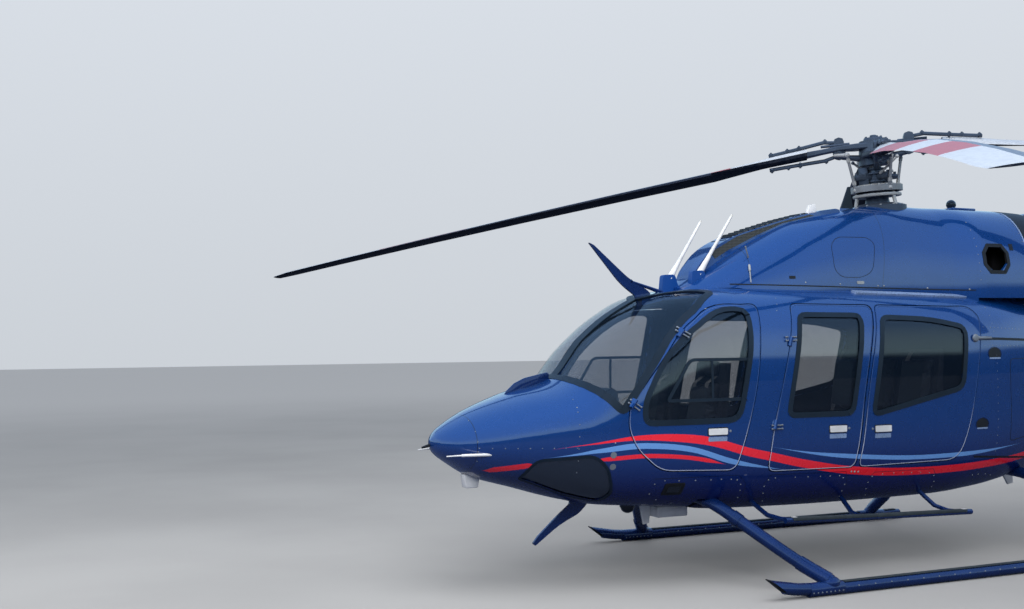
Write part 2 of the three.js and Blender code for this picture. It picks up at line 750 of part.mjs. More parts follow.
function sagAt({ slope, bend }, radius) {
  const reach = Math.max(radius - flexRadius, 0);
  return -slope * reach - bend * (reach / 1000) ** 2;
}

// One arm of the hub: the flexible yoke, and the cuff's two beams that clasp the blade's root
function hubArm(sag) {
  const chamfer = 8;
  const yokeStations = [
    [0, 110, 23],
    [150, 110, 23],
    [flexRadius, 60, 20],
    [430, 58, 20],
    [bladeRootRadius, 70, 23],
  ];
  const yoke = loft(
    yokeStations.map(([radius, half, thick]) => {
      const corners = [
        [half - chamfer, thick],
        [chamfer - half, thick],
        [-half, thick - chamfer],
        [-half, chamfer - thick],
        [chamfer - half, -thick],
        [half - chamfer, -thick],
        [half, chamfer - thick],
        [half, thick - chamfer],
      ];
      return corners.map(([y, z]) => new THREE.Vector3(radius, y, z + sagAt(sag, radius)));
    }),
  );
  const beams = [1, -1].map((side) => {
    const line = [[265, 50], [330, 78], [460, 76], [640, 68], [880, 60]];
    return bar(line.map(([radius, lift]) => [radius, 0, side * lift + sagAt(sag, radius)]), 16, 6, 1);
  });
  const damper = acrossPrism([[245, -95, 40], [245, 95, 40], [330, 95, 40], [330, -95, 40]], -32, 32, 2);
  return join(yoke, damper, ...beams);
}

// Blade stations: radius, chord, thickness, share of the chord ahead of the pitch axis
const bladeStations = [
  [bladeRootRadius + gap, 150, 116, 0.5],
  [850, 150, 104, 0.5],
  [1000, 190, 70, 0.42],
  [1350, bladeChord, 42, 0.3],
  [2200, bladeChord, 36, 0.3],
  [3100, bladeChord, 34, 0.3],
  [4000, bladeChord, 32, 0.3],
  [4800, bladeChord, 30, 0.3],
  [5330, bladeChord, 28, 0.3],
  [rotorRadius, 190, 16, 0.1],
];

function rotorBlade(sag) {
  return loft(
    bladeStations.map(([radius, chord, thickness, ahead]) => {
      const pitch = bladeRootPitch + (bladeTwist * radius) / rotorRadius;
      const [c, s] = [Math.cos(pitch), Math.sin(pitch)];
      const axis = new THREE.Vector3(radius, 0, sagAt(sag, radius));
      const front = axis.clone().add(new THREE.Vector3(0, chord * ahead * c, chord * ahead * s));
      const back = front.clone().add(new THREE.Vector3(0, -chord * c, -chord * s));
      return foilRing(front, back, thickness, new THREE.Vector3(0, -s, c));
    }),
  );
}

// Tail rotor: two stacked pairs on one shaft, port of the fin
function buildTailRotor() {
  const pairs = [
    { name: "tail_blades_inner", y: 55, angle: THREE.MathUtils.degToRad(-104.4) },
    { name: "tail_blades_outer", y: -45, angle: THREE.MathUtils.degToRad(2) },
  ];
  for (const { name, y, angle } of pairs) {
    const plate = join(tailBlade(), solid(geometryOf(tailBlade()).rotateY(Math.PI)), box(-120, 120, -15, 15, -45, 45));
    const turned = solid(geometryOf(plate).rotateY(angle).translate(0, y, 0));
    const shaftRoom = cylinder(34 + gap, 34 + gap, 400, 16, 0, 0, 0, "y");
    addPiece(name, turned.subtract(shaftRoom), bladeLook, tailRotor);
  }
  const shaft = join(
    cylinder(34, 34, 240, 16, 0, 20, 0, "y"),
    cylinder(62, 62, 24, 16, 0, 5, 0, "y"),
    cylinder(56, 40, 30, 16, 0, -80, 0, "y"),
  );
  addPiece("tail_rotor_shaft", shaft, steelLook, tailRotor);

  const housing = join(cylinder(95, 110, 130, 16, 0, 215, 0, "y"), cylinder(60, 60, 60, 16, 0, 170, 0, "y"));
  const bore = cylinder(35, 35, 400, 16, 0, 0, 0, "y");
  const finRoom = join(loft(boomSections.map((s) => bodyRing(s, -gap, 24))), finPanel(gap));
  const atRotor = geometryOf(finRoom).translate(-tailRotorHub.x, -tailRotorHub.y, -tailRotorHub.z);
  addPiece("tail_gearbox", housing.subtract(bore).subtract(solid(atRotor)), steelLook, tailRotor);
}

function tailBlade() {
  const up = new THREE.Vector3(0, 1, 0);
  const stations = [
    [60, 80, 30],
    [200, 90, 28],
    [300, 150, 22],
    [tailRotorRadius - 30, 150, 16],
    [tailRotorRadius, 120, 12],
  ];
  return loft(
    stations.map(([radius, chord, thickness]) =>
      foilRing(new THREE.Vector3(radius, 0, chord / 2), new THREE.Vector3(radius, 0, -chord / 2), thickness, up),
    ),
  );
}

// Skids, cross tubes and boarding steps
function buildLandingGear() {
  for (const [name, tube] of [["cross_tube_front", frontTube], ["cross_tube_rear", rearTube]]) {
    addPiece(name, bar(crossTubePoints(tube), crossTubeRadius, 10, 2).subtract(skidRoom()), darkPaint);
  }
  const tipCut = acrossPrism([[1900, 190, 0], [2070, 62, 0], [2070, 0, 0], [1900, 0, 0]], -1400, -1200);
  addPair("skid", skidTube(0).subtract(tipCut), darkPaint);
  const barPoints = [[2340, -985, 476], [3200, -925, 440], [4210, -850, 404]];
  const supports = [
    [[2330, -500, 610], [2372, -740, 478], [2430, -979, 471]],
    [[3190, -500, 590], [3160, -720, 440], [3120, -931, 443]],
    [[3950, -500, 590], [4030, -690, 425], [4120, -857, 407]],
  ];
  const step = join(bar(barPoints, 21, 8, 2), ...supports.map((points) => bar(points, 19, 6, 2)));
  addPair("step", step.subtract(hull(-gap)), darkPaint);
}

function skidTube(grow) {
  const y = -skidHalfTrack;
  const z = skidRadius * Math.cos(Math.PI / 12);
  const nose = [[1938, y, 106], [2080, y, 104], [2205, y, z + 13], [2400, y, z + 1]];
  const points = [...nose, [2560, y, z], [2700, y, z], [3900, y, z], [5376, y, z]];
  return bar(points, skidRadius + grow, 12, 2);
}

function skidRoom() {
  const port = skidTube(gap);
  return port.add(solid(geometryOf(port).scale(1, -1, 1)));
}

// Wire cutters above the windshield and under the nose
function buildWireCutters() {
  const upper = [
    [1290, 2524, 8],
    [1332, 2506, 8],
    [1640, 2246, 80],
    [1800, 2166, 60],
    [1860, 2090, 20],
    [1860, 2020, 0],
    [1680, 2020, 0],
    [1694, 2116, 30],
    [1560, 2210, 120],
  ];
  addPiece("wire_cutter_upper", acrossPrism(upper, -11, 11).subtract(hull(-gap)), darkPaint);
  const lower = [
    [798, 284, 8],
    [818, 266, 8],
    [1016, 408, 100],
    [1180, 482, 30],
    [1256, 556, 20],
    [1240, 660, 0],
    [1100, 660, 0],
    [1106, 556, 20],
    [985, 462, 60],
    [838, 332, 20],
  ];
  addPiece("wire_cutter_lower", acrossPrism(lower, -11, 11).subtract(hull(-gap)), darkPaint);
}

// Seats and instrument panel that show through the glass
function buildInterior() {
  const seatProfile = [
    [1560, floorZ + gap, 0],
    [1560, 1060, 60],
    [1980, 1030, 40],
    [2110, 1640, 60],
    [2200, 1640, 60],
    [2130, floorZ + gap, 0],
  ];
  addPair("crew_seat", acrossPrism(seatProfile, -570, -130), trimLook);
  const rearProfile = [
    [3560, floorZ + gap, 0],
    [3560, 1120, 60],
    [3960, 1090, 40],
    [4090, 1720, 60],
    [4190, 1720, 60],
    [4150, floorZ + gap, 0],
  ];
  addPiece("rear_seats", acrossPrism(rearProfile, -640, 640), trimLook);
  const panelProfile = [
    [1010, 1330, 30],
    [1250, 1440, 40],
    [1300, 1400, 20],
    [1230, 1040, 20],
    [1420, 960, 40],
    [1420, floorZ + gap, 0],
    [1310, floorZ + gap, 0],
    [1130, 900, 40],
  ];
  const glareShield = [
    [1010, 1330, 20],
    [1250, 1440, 30],
    [1300, 1400, 20],
    [1250, 1120, 20],
    [1130, 1120, 20],
  ];
  const panel = join(acrossPrism(panelProfile, -150, 150), acrossPrism(glareShield, -430, 430));
  addPiece("instrument_panel", panel.intersect(hull(wallThickness + gap)), blackPaint);
}

buildBody();
buildDoors();
buildCowls();
buildTail();
buildStabiliser();
buildMainRotor();
buildTailRotor();
buildLandingGear();
buildWireCutters();
buildInterior();

// The part's origin is on the ground, at the middle of the whole machine.
const reach = new THREE.Box3().setFromObject(helicopter, true);
helicopter.position.set(-(reach.min.x + reach.max.x) / 2, 0, -reach.min.z);

export default helicopter;
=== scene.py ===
import json
import math

import bmesh
import bpy
from mathutils import Matrix, Vector
from mathutils.bvhtree import BVHTree


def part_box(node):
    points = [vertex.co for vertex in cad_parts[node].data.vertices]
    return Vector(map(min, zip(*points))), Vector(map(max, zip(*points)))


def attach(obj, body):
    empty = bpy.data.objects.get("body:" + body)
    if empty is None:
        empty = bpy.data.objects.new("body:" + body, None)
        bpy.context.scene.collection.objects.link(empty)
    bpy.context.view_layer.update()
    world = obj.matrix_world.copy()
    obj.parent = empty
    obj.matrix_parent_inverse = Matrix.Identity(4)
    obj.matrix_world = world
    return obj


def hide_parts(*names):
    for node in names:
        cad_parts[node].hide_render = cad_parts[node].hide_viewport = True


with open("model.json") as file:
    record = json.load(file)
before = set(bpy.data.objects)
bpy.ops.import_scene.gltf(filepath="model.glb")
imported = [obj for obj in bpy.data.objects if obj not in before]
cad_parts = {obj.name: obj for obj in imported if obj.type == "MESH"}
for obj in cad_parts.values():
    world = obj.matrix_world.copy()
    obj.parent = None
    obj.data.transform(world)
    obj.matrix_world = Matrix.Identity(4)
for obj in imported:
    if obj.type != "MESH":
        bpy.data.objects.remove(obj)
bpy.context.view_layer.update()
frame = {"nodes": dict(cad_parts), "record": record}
nodes = frame["nodes"]
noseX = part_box("nose_cone")[0].x  # sizes below are metres aft of the nose tip, to starboard and up
print("frame loaded,", len(nodes), "nodes")


def at(x, y, z):
    return Vector((noseX + x, y, z))


def aft(p):
    # the same point counted from the nose tip
    return Vector((p.x - noseX, p.y, p.z))


# Camera and room

view = {
    "place": (-2.9008, -8.1303, 1.7777),
    "heading": 66.398,  # degrees from the tail's direction towards starboard
    "pitch": 1.755,
    "roll": -0.5335,
    "focal": 42.27,
}


def placed(name, data):
    # a new object in the scene
    thing = bpy.data.objects.new(name, data)
    bpy.context.scene.collection.objects.link(thing)
    return thing


def makeCamera():
    heading, pitch, roll = (math.radians(view[k]) for k in ("heading", "pitch", "roll"))
    data = bpy.data.cameras.new("photoCamera")
    data.lens = view["focal"]
    data.sensor_width = 36
    data.clip_end = 400
    camera = placed("photoCamera", data)
    look = Matrix.Rotation(heading - math.pi / 2, 4, "Z") @ Matrix.Rotation(math.pi / 2 + pitch, 4, "X")
    camera.matrix_world = Matrix.Translation(at(*view["place"])) @ look @ Matrix.Rotation(roll, 4, "Z")
    bpy.context.scene.camera = camera


room = {
    "floorSize": 90.0,
    "floorColour": (0.37, 0.365, 0.36, 1),
    "floorFarPaintedLight": (0.52, 0.51, 0.50, 1),
    "floorPaintedShade": (0.055, 0.07, 0.115, 1),  # a much darker floor, met only by reflections and bounced light: painted shade for the belly
    "backdrop": [(0.48, (0.66, 0.70, 0.75, 1)), (0.66, (0.78, 0.83, 0.90, 1))],  # what the camera sees
    "mirrored": [  # what the paint and glass see, from straight down to straight up
        (0.0, (0.05, 0.07, 0.12, 1)), (0.50, (0.020, 0.04, 0.09, 1)), (0.538, (0.025, 0.05, 0.11, 1)),
        (0.556, (0.58, 0.86, 1.0, 1)), (0.62, (0.52, 0.78, 1.0, 1)), (0.72, (0.30, 0.52, 0.90, 1)),
        (1.0, (0.22, 0.42, 0.80, 1)),
    ],
    "skyStrength": 0.9,
    "exposure": 0.0,
}

lights = [  # name, place, aimed at, size, watts
    ("overheadLight", (1.0, -3.0, 9.0), (3.5, 0, 1.5), (9, 6), 520),
    ("portLight", (-3.0, -9.0, 6.5), (3.0, 0, 1.3), (6, 4), 620),
    ("noseLight", (-7.5, 1.0, 4.5), (1.5, 0, 1.2), (4, 4), 200),
    ("tailLight", (12.0, 8.0, 6.0), (6.0, 0, 2.0), (6, 4), 350),
]


def makeRoom():
    bm = bmesh.new()
    bmesh.ops.create_grid(bm, x_segments=1, y_segments=1, size=room["floorSize"])
    mesh = bpy.data.meshes.new("floor")
    bm.to_mesh(mesh)
    bm.free()
    mesh.materials.append(floorFinish())
    floor = placed("floor", mesh)
    world = bpy.data.worlds.new("studio")
    bpy.context.scene.world = world
    world.use_nodes = True
    tree = world.node_tree
    backdrop = tree.nodes["Background"]
    sky = Socket(tree)
    height = sky.add("SeparateXYZ", inputs={0: sky.add("TexCoord", out="Generated")}, out="Z") * 0.5 + 0.5
    seen = sky.add("ValToRGB", {"stops": room["backdrop"]}, {"Fac": height})
    mirrored = sky.add("ValToRGB", {"stops": room["mirrored"]}, {"Fac": height})
    blend = sky.add("LightPath", out="Is Glossy Ray").mix(seen, mirrored)
    tree.links.new(blend.socket, backdrop.inputs["Color"])
    backdrop.inputs["Strength"].default_value = room["skyStrength"]
    for name, place, target, size, watts in lights:
        data = bpy.data.lights.new(name, "AREA")
        data.shape = "RECTANGLE"
        data.size, data.size_y = size
        data.energy = watts
        lamp = placed(name, data)
        lamp.visible_glossy = False
        lamp.location = at(*place)
        lamp.rotation_euler = (at(*target) - at(*place)).to_track_quat("-Z", "Y").to_euler()


# Materials

class Socket:
    # one socket of a material's nodes; arithmetic on it adds Math nodes
    def __init__(self, tree, socket=None):
        self.tree = tree
        self.socket = socket

    def add(self, kind, settings=None, inputs=None, out=0):
        node = self.tree.nodes.new("ShaderNode" + kind)
        for name, value in (settings or {}).items():
            if name == "stops":
                node.color_ramp.elements[1].position = value[-1][0]
                for spot, _ in value[1:-1]:
                    node.color_ramp.elements.new(spot)
                for stop, (spot, colour) in zip(node.color_ramp.elements, value):
                    stop.position, stop.color = spot, colour
            elif name == "curve":
                line = node.mapping.curves[0]
                line.points[0].location = value[0]
                line.points[-1].location = value[-1]
                for spot in value[1:-1]:
                    line.points.new(*spot)
                node.mapping.update()
            else:
                setattr(node, name, value)
        for name, value in (inputs or {}).items():
            if isinstance(value, Socket):
                self.tree.links.new(value.socket, node.inputs[name])
            else:
                node.inputs[name].default_value = value
        return Socket(self.tree, node.outputs[out])

    def maths(self, operation, *others):
        return self.add("Math", {"operation": operation}, dict(enumerate((self, *others))))

    def __add__(self, other):
        return self.maths("ADD", other)

    def __sub__(self, other):
        return self.maths("SUBTRACT", other)

    def __rsub__(self, other):
        return self.add("Math", {"operation": "SUBTRACT"}, {0: other, 1: self})

    def __mul__(self, other):
        return self.maths("MULTIPLY", other)

    def ramp(self, low, high, start=0.0, end=1.0):
        # eases from start to end as the value goes from low to high
        span = {0: self, "From Min": low, "From Max": high, "To Min": start, "To Max": end}
        return self.add("MapRange", {"interpolation_type": "SMOOTHSTEP"}, span)

    def within(self, low, high, soft=0.0012):
        return self.ramp(low - soft, low + soft) * self.ramp(high - soft, high + soft, 1.0, 0.0)

    def mix(self, first, second):
        # colours, with this value as the share of the second
        return self.add("Mix", {"data_type": "RGBA"}, {0: self, 6: first, 7: second}, out=2)


class Finish(Socket):
    # a material, its Principled shader and the object's own coordinates
    def __init__(self, name, colour, roughness, **fixed):
        self.material = bpy.data.materials.new(name)
        self.material.use_nodes = True
        self.material.diffuse_color = (*colour, 1)
        super().__init__(self.material.node_tree)
        self.shader = self.tree.nodes["Principled BSDF"]
        self.set("Base Color", (*colour, 1))
        self.set("Roughness", roughness)
        for key, value in fixed.items():
            self.set(key.replace("_", " "), value)
        self.place = self.add("TexCoord", out="Object")
        self.x, self.y, self.z = (self.add("SeparateXYZ", inputs={0: self.place}, out=k) for k in "XYZ")

    def set(self, name, value):
        if isinstance(value, Socket):
            self.tree.links.new(value.socket, self.shader.inputs[name])
        else:
            self.shader.inputs[name].default_value = value

    def noise(self, scale, detail):
        inputs = {"Vector": self.place, "Scale": scale, "Detail": detail}
        return self.add("TexNoise", inputs=inputs, out="Fac")

    def bump(self, height, distance, strength=1.0):
        inputs = {"Height": height, "Distance": distance, "Strength": strength}
        self.set("Normal", self.add("Bump", inputs=inputs))

    def soil(self, tone, scale, most):
        # the colour under a thin uneven dirt
        dirt = self.noise(scale, 4).ramp(0.35, 0.75, 0.0, most)
        self.set("Base Color", dirt.mix(tone, (0.1, 0.1, 0.11, 1)))


def floorFinish():
    made = Finish("floorPaint", room["floorColour"][:3], 0.9, Specular_IOR_Level=0.15)
    shade = made.noise(0.35, 4)
    paler = tuple(0.88 * c for c in room["floorColour"][:3])
    seen = shade.ramp(0.3, 0.75).mix(room["floorColour"], (*paler, 1))
    # paler further off: painted light where the lamps fall off
    away = (made.x * made.x + made.y * made.y).maths("SQRT").ramp(9, 34)
    seen = away.mix(seen, room["floorFarPaintedLight"])
    # reflections and bounced light meet the darker floor, painted shade that darkens the belly; the camera
    # sees the pale floor
    made.set("Base Color", made.add("LightPath", out="Is Camera Ray").mix(room["floorPaintedShade"], seen))
    return made.material


stripes = {
    "red": (0.92, 0.014, 0.028, 1),
    "sky": (0.14, 0.33, 0.72, 1),
    # each line's centre: metres aft of the nose, height
    "mainRed": [(0.70, 1.022), (0.953, 1.054), (1.421, 1.090), (2.287, 0.934), (2.729, 0.839), (3.198, 0.766),
                (3.682, 0.734), (4.361, 0.740), (5.045, 0.791), (5.7, 0.93), (6.3, 1.22), (6.9, 1.62),
                (7.6, 1.86), (8.4, 1.95), (9.4, 1.99), (10.2, 2.02)],
    "lowerSky": [(0.65, 0.962), (0.854, 0.984), (1.025, 1.007), (1.374, 1.032), (2.157, 0.870),
                 (2.537, 0.806)],
    "upperSky": [(2.369, 0.989), (3.333, 0.866), (3.975, 0.843), (4.984, 0.903)],
    "shortRed": [(0.94, 0.935), (1.134, 0.950), (1.426, 0.959), (1.995, 0.875)],
    "noseRed": [(0.292, 0.869), (0.607, 0.918)],
    "boomEnd": [(10.2, 2.02), (10.5, 2.0), (10.85, 2.04)],
}


def lineAlong(value, points, margin=0.0):
    # the height of a line through points over a value, and the value's share of the line's length
    lows, highs = ([pick(q[k] for q in points) for k in (0, 1)] for pick in (min, max))
    lows[1], highs[1] = lows[1] - margin, highs[1] + margin
    spans = [high - low for low, high in zip(lows, highs)]
    curve = [tuple((q[k] - lows[k]) / spans[k] for k in (0, 1)) for q in points]
    share = (value - lows[0]) * (1 / spans[0])
    return value.add("FloatCurve", {"curve": curve}, {"Value": share}) * spans[1] + lows[1], share


def stripeMask(made, line, width, taper):
    # a band round the line, drawn to points at its ends
    centre, share = lineAlong(made.x - noseX, line, 0.05)
    half = share.ramp(0.0, taper, 0.0, width / 2) * share.ramp(1 - taper, 1.0, 1.0, 0.0)
    off = (made.z - centre).maths("ABSOLUTE")
    return (half - off).ramp(-0.0012, 0.0012) * share.within(0.0, 1.0)


paint = {
    "blue": (0.003, 0.050, 0.235),
    # dark: the blue darkened as painted shade for the underside
    "dark": (0.001, 0.004, 0.085),
}


def bluePaint(name):
    return Finish(name, paint["blue"], 0.28, Metallic=0.4, Coat_Weight=1.0, Coat_Roughness=0.02, Coat_IOR=1.9)


def blueWithPaintedShade(share):
    # from a darker blue, painted shade on the underside, to the blue
    return share.mix((*paint["dark"], 1), (*paint["blue"], 1))


seams = {  # thin dark panel lines: two points each, metres aft and height
    "width": 0.005,
    "lines": [
        ((0.232, 0.80), (0.232, 1.26)),
        ((3.818, 2.90), (3.775, 2.58)), ((3.775, 2.58), (3.70, 2.17)),
        ((2.545, 2.50), (2.487, 2.19)),
        ((1.44, 0.79), (2.12, 0.79)), ((2.12, 0.79), (2.20, 0.72)), ((2.20, 0.72), (2.21, 0.60)),
        ((2.36, 0.70), (2.40, 0.775)), ((2.40, 0.775), (3.09, 0.765)), ((3.09, 0.765), (3.15, 0.64)),
        ((3.33, 0.70), (3.37, 0.745)), ((3.37, 0.745), (3.96, 0.74)), ((3.96, 0.74), (4.03, 0.66)),
        ((5.70, 1.25), (6.30, 1.40)), ((6.62, 1.30), (6.62, 2.60)), ((7.83, 1.55), (7.83, 2.25)),
    ],
}


def seamMask(made):
    masks = []
    for (ax, az), (bx, bz) in seams["lines"]:
        length = math.hypot(bx - ax, bz - az)
        dx, dz = (bx - ax) / length, (bz - az) / length
        east, rise = made.x - (noseX + ax), made.z - az
        along = east * dx + rise * dz
        off = (rise * dx - east * dz).maths("ABSOLUTE")
        edge = off.ramp(seams["width"] / 2 - 0.0008, seams["width"] / 2 + 0.0008, 1.0, 0.0)
        masks.append(edge * along.within(0.0, length))
    found = masks[0]
    for mask in masks[1:]:
        found = found.maths("MAXIMUM", mask)
    return found


def bodyFinish():
    made = bluePaint("bodyPaint")
    # the lower body is painted a darker blue as painted shade; the same share also lowers the metal there
    belly = made.z.ramp(0.55, 1.25)
    tone = blueWithPaintedShade(belly)
    lines = [  # stripe, width, colour, share of its length that each pointed end takes
        ("mainRed", 0.062, "red", 0.12),
        ("lowerSky", 0.04, "sky", 0.3),
        ("upperSky", 0.034, "sky", 0.3),
        ("shortRed", 0.03, "red", 0.16),
        ("noseRed", 0.04, "red", 0.2),
    ]
    painted = None
    for name, width, colour, taper in lines:
        mask = stripeMask(made, stripes[name], width, taper)
        tone = mask.mix(tone, stripes[colour])
        painted = mask if painted is None else painted.maths("MAXIMUM", mask)
    tone = (seamMask(made) * 0.75).mix(tone, (0.002, 0.004, 0.02, 1))
    plate = made.y.within(-0.02, 0.02) * made.x.within(noseX + 3.64, noseX + 3.82) * made.z.ramp(2.868, 2.872)
    tone = plate.mix(tone, (0.006, 0.010, 0.018, 1))
    post = made.y.within(-0.035, 0.035) * made.x.within(noseX + 0.95, noseX + 1.85) * made.z.ramp(1.5, 1.52)
    tone = post.mix(tone, (0.02, 0.03, 0.037, 1))
    made.set("Base Color", tone)
    covered = painted.maths("MAXIMUM", post).maths("MAXIMUM", plate)
    made.set("Metallic", covered.ramp(0.0, 1.0, 0.4, 0.0) * belly)
    made.set("Coat Weight", made.z.ramp(0.62, 1.0, 0.25, 1.0) * (1 - plate))
    made.set("Roughness", made.noise(9, 3).ramp(0.3, 0.7, 0.24, 0.30))
    made.bump(made.noise(3.5, 1), 0.0006, 0.25)
    return made.material


def glassFinish(name, opacity):
    tone = (0.004, 0.010, 0.020)
    return Finish(name, tone, 0.015, Alpha=opacity, IOR=2.2, Coat_Weight=1.0, Coat_Roughness=0.01).material


def plainFinish(name, colour, roughness, metallic=0.0, grain=0.0, scale=60.0, coat=0.0):
    # one colour with a fine unevenness in tone, gloss and surface
    made = Finish(name, colour, roughness, Metallic=metallic, Coat_Weight=coat)
    cloud = made.noise(scale * 0.08, 4)
    fine = made.noise(scale, 2)
    darker = tuple(0.72 * c for c in colour)
    made.set("Base Color", cloud.ramp(0.3, 0.75).mix((*colour, 1), (*darker, 1)))
    made.set("Roughness", fine.ramp(0.2, 0.8, max(roughness - 0.06, 0.02), roughness + 0.08))
    if grain:
        made.bump(fine, grain)
    return made.material


def screenFinish():
    # woven wire over a dark opening, the dark between the wires painted shade
    made = Finish("intakeMesh", (0.05, 0.055, 0.05), 0.55, Metallic=0.3)
    spacing = {"Vector": made.place, "Scale": 26.0}
    along, up = (made.add("TexWave", {"bands_direction": k}, spacing) for k in "XZ")
    wire = along.maths("MAXIMUM", up)
    made.set("Base Color", wire.ramp(0.5, 0.8).mix((0.008, 0.008, 0.009, 1), (0.10, 0.105, 0.095, 1)))
    made.bump(wire, 0.002, 0.6)
    return made.material


rotor = {
    "hub": (4.04, 0.0, 3.376),
    "tilt": math.radians(3.65),
    "firstBlade": math.radians(145.5),
    "radius": 5.485,
    "planes": (0.042, -0.042, 0.042, -0.042),
    # each arm's slope at its flexing root and its bend over the square of its length
    "sags": ((0.123, 0.0034), (0.065, 0.0118), (0.09, 0.008), (0.105, 0.006)),
    "flexRadius": 0.3,
    "redBands": ((0.22, 0.51), (0.65, 0.80)),  # shares of the radius
    "edgeStrip": (0.052, 0.12),
}


def bladeFinish(k):
    # white with red bands on top, greyed and blued as a painted sky reflection, dark underneath, a bare metal
    # strip along the leading edge
    made = Finish(f"bladePaint{k + 1}", (0.5, 0.52, 0.55), 0.4, Specular_IOR_Level=0.35)
    turn = rotor["firstBlade"] + k * math.pi / 2
    east = made.x - (noseX + rotor["hub"][0])
    span = east * math.cos(turn) + made.y * math.sin(turn)
    across = made.y * math.cos(turn) - east * math.sin(turn)
    up = made.add("SeparateXYZ", inputs={0: made.add("TexCoord", out="Normal")}, out="Z")
    share = span * (1 / rotor["radius"])
    # the top's white is greyed and blued and its red dulled: painted sky reflection over the real white and
    # red
    tone = (0.40, 0.44, 0.50, 1)
    for low, high in rotor["redBands"]:
        tone = share.within(low, high, 0.0005).mix(tone, (0.30, 0.085, 0.10, 1))
    topside = up.ramp(0.1, 0.25)
    tone = topside.mix((0.004, 0.008, 0.018, 1), tone)
    made.set("Roughness", topside.ramp(0.0, 1.0, 0.75, 0.38))
    strip = across.within(*rotor["edgeStrip"]) * share.ramp(0.25, 0.252)
    made.soil(strip.mix(tone, (0.36, 0.38, 0.41, 1)), 30, 0.18)
    made.set("Metallic", strip * 0.8)
    return made.material


tail = {
    "hub": (10.69, -0.31, 2.125),
    "blackBands": ((0.50, 0.60), (0.69, 0.78), (0.86, 0.94)),  # shares of the tail blade's radius
    "radius": 0.825,
    "linkTurn": 0.35,
    # the fin's leading edge and where its red begins: height, metres aft
    "finLead": [(1.1, 10.58), (1.535, 10.45), (1.81, 10.33), (2.15, 10.24), (2.372, 10.29), (2.866, 10.522),
                (3.78, 10.968)],
    "finRed": [(2.25, 10.555), (2.87, 10.74), (3.78, 11.10)],
}


def tailBladeFinish():
    made = Finish("tailBladePaint", (0.75, 0.76, 0.78), 0.38)
    east = made.x - (noseX + tail["hub"][0])
    rise = made.z - tail["hub"][2]
    share = (east * east + rise * rise).maths("SQRT") * (1 / tail["radius"])
    tone = (0.72, 0.72, 0.7, 1)
    for low, high in tail["blackBands"]:
        tone = share.within(low, high, 0.003).mix(tone, (0.012, 0.012, 0.014, 1))
    tone = share.within(0.0, 0.16, 0.003).mix(tone, (0.05, 0.055, 0.06, 1))
    made.soil(tone, 40, 0.2)
    return made.material


def finFinish():
    # blue in front, red behind, with a bare metal leading edge
    made = bluePaint("finPaint")
    behindLead = made.x - (lineAlong(made.z, tail["finLead"])[0] + noseX)
    behindRed = made.x - (lineAlong(made.z, tail["finRed"])[0] + noseX)
    # darker blue towards the foot, painted shade
    tone = blueWithPaintedShade(made.z.ramp(1.2, 2.4))
    red = behindRed.ramp(-0.002, 0.002) * made.z.ramp(2.26, 2.262)
    lowerRed = stripeMask(made, stripes["boomEnd"], 0.12, 0.3)
    tone = red.maths("MAXIMUM", lowerRed).mix(tone, stripes["red"])
    strip = behindLead.ramp(0.032, 0.036, 1.0, 0.0) * made.z.ramp(2.37, 2.40)
    tone = strip.mix(tone, (0.45, 0.47, 0.5, 1))
    made.set("Base Color", tone)
    made.set("Metallic", strip.maths("MAXIMUM", (1 - red) * 0.45))
    return made.material


def stabiliserFinish():
    made = bluePaint("stabiliserPaint")
    plate = made.y.maths("ABSOLUTE").ramp(1.50, 1.502)
    # darker blue towards the foot, painted shade
    tone = blueWithPaintedShade(made.z.ramp(1.4, 2.2))
    tone = (made.z.within(1.895, 1.965) * plate).mix(tone, stripes["red"])
    tone = (made.z.within(1.978, 1.992) * plate).mix(tone, stripes["sky"])
    made.set("Base Color", tone)
    return made.material


def doorSeamFinish():
    # pale along the doors' feet as a painted highlight on the gap's lit edge, dark above
    made = Finish("doorSeamPaintedHighlight", (0.1, 0.16, 0.34), 0.35)
    made.set("Base Color", made.z.ramp(0.9, 1.35).mix((0.40, 0.44, 0.56, 1), (0.030, 0.075, 0.22, 1)))
    return made.material


def antennaFinish():
    # a blue foot and an off-white rod
    made = Finish("antennaPaint", (0.6, 0.6, 0.58), 0.45)
    lift = (made.z - made.x.ramp(noseX + 2.0, noseX + 2.02, 0.0, 0.026)).ramp(2.289, 2.291)
    made.set("Base Color", lift.mix((*paint["blue"], 1), (0.6, 0.6, 0.57, 1)))
    return made.material


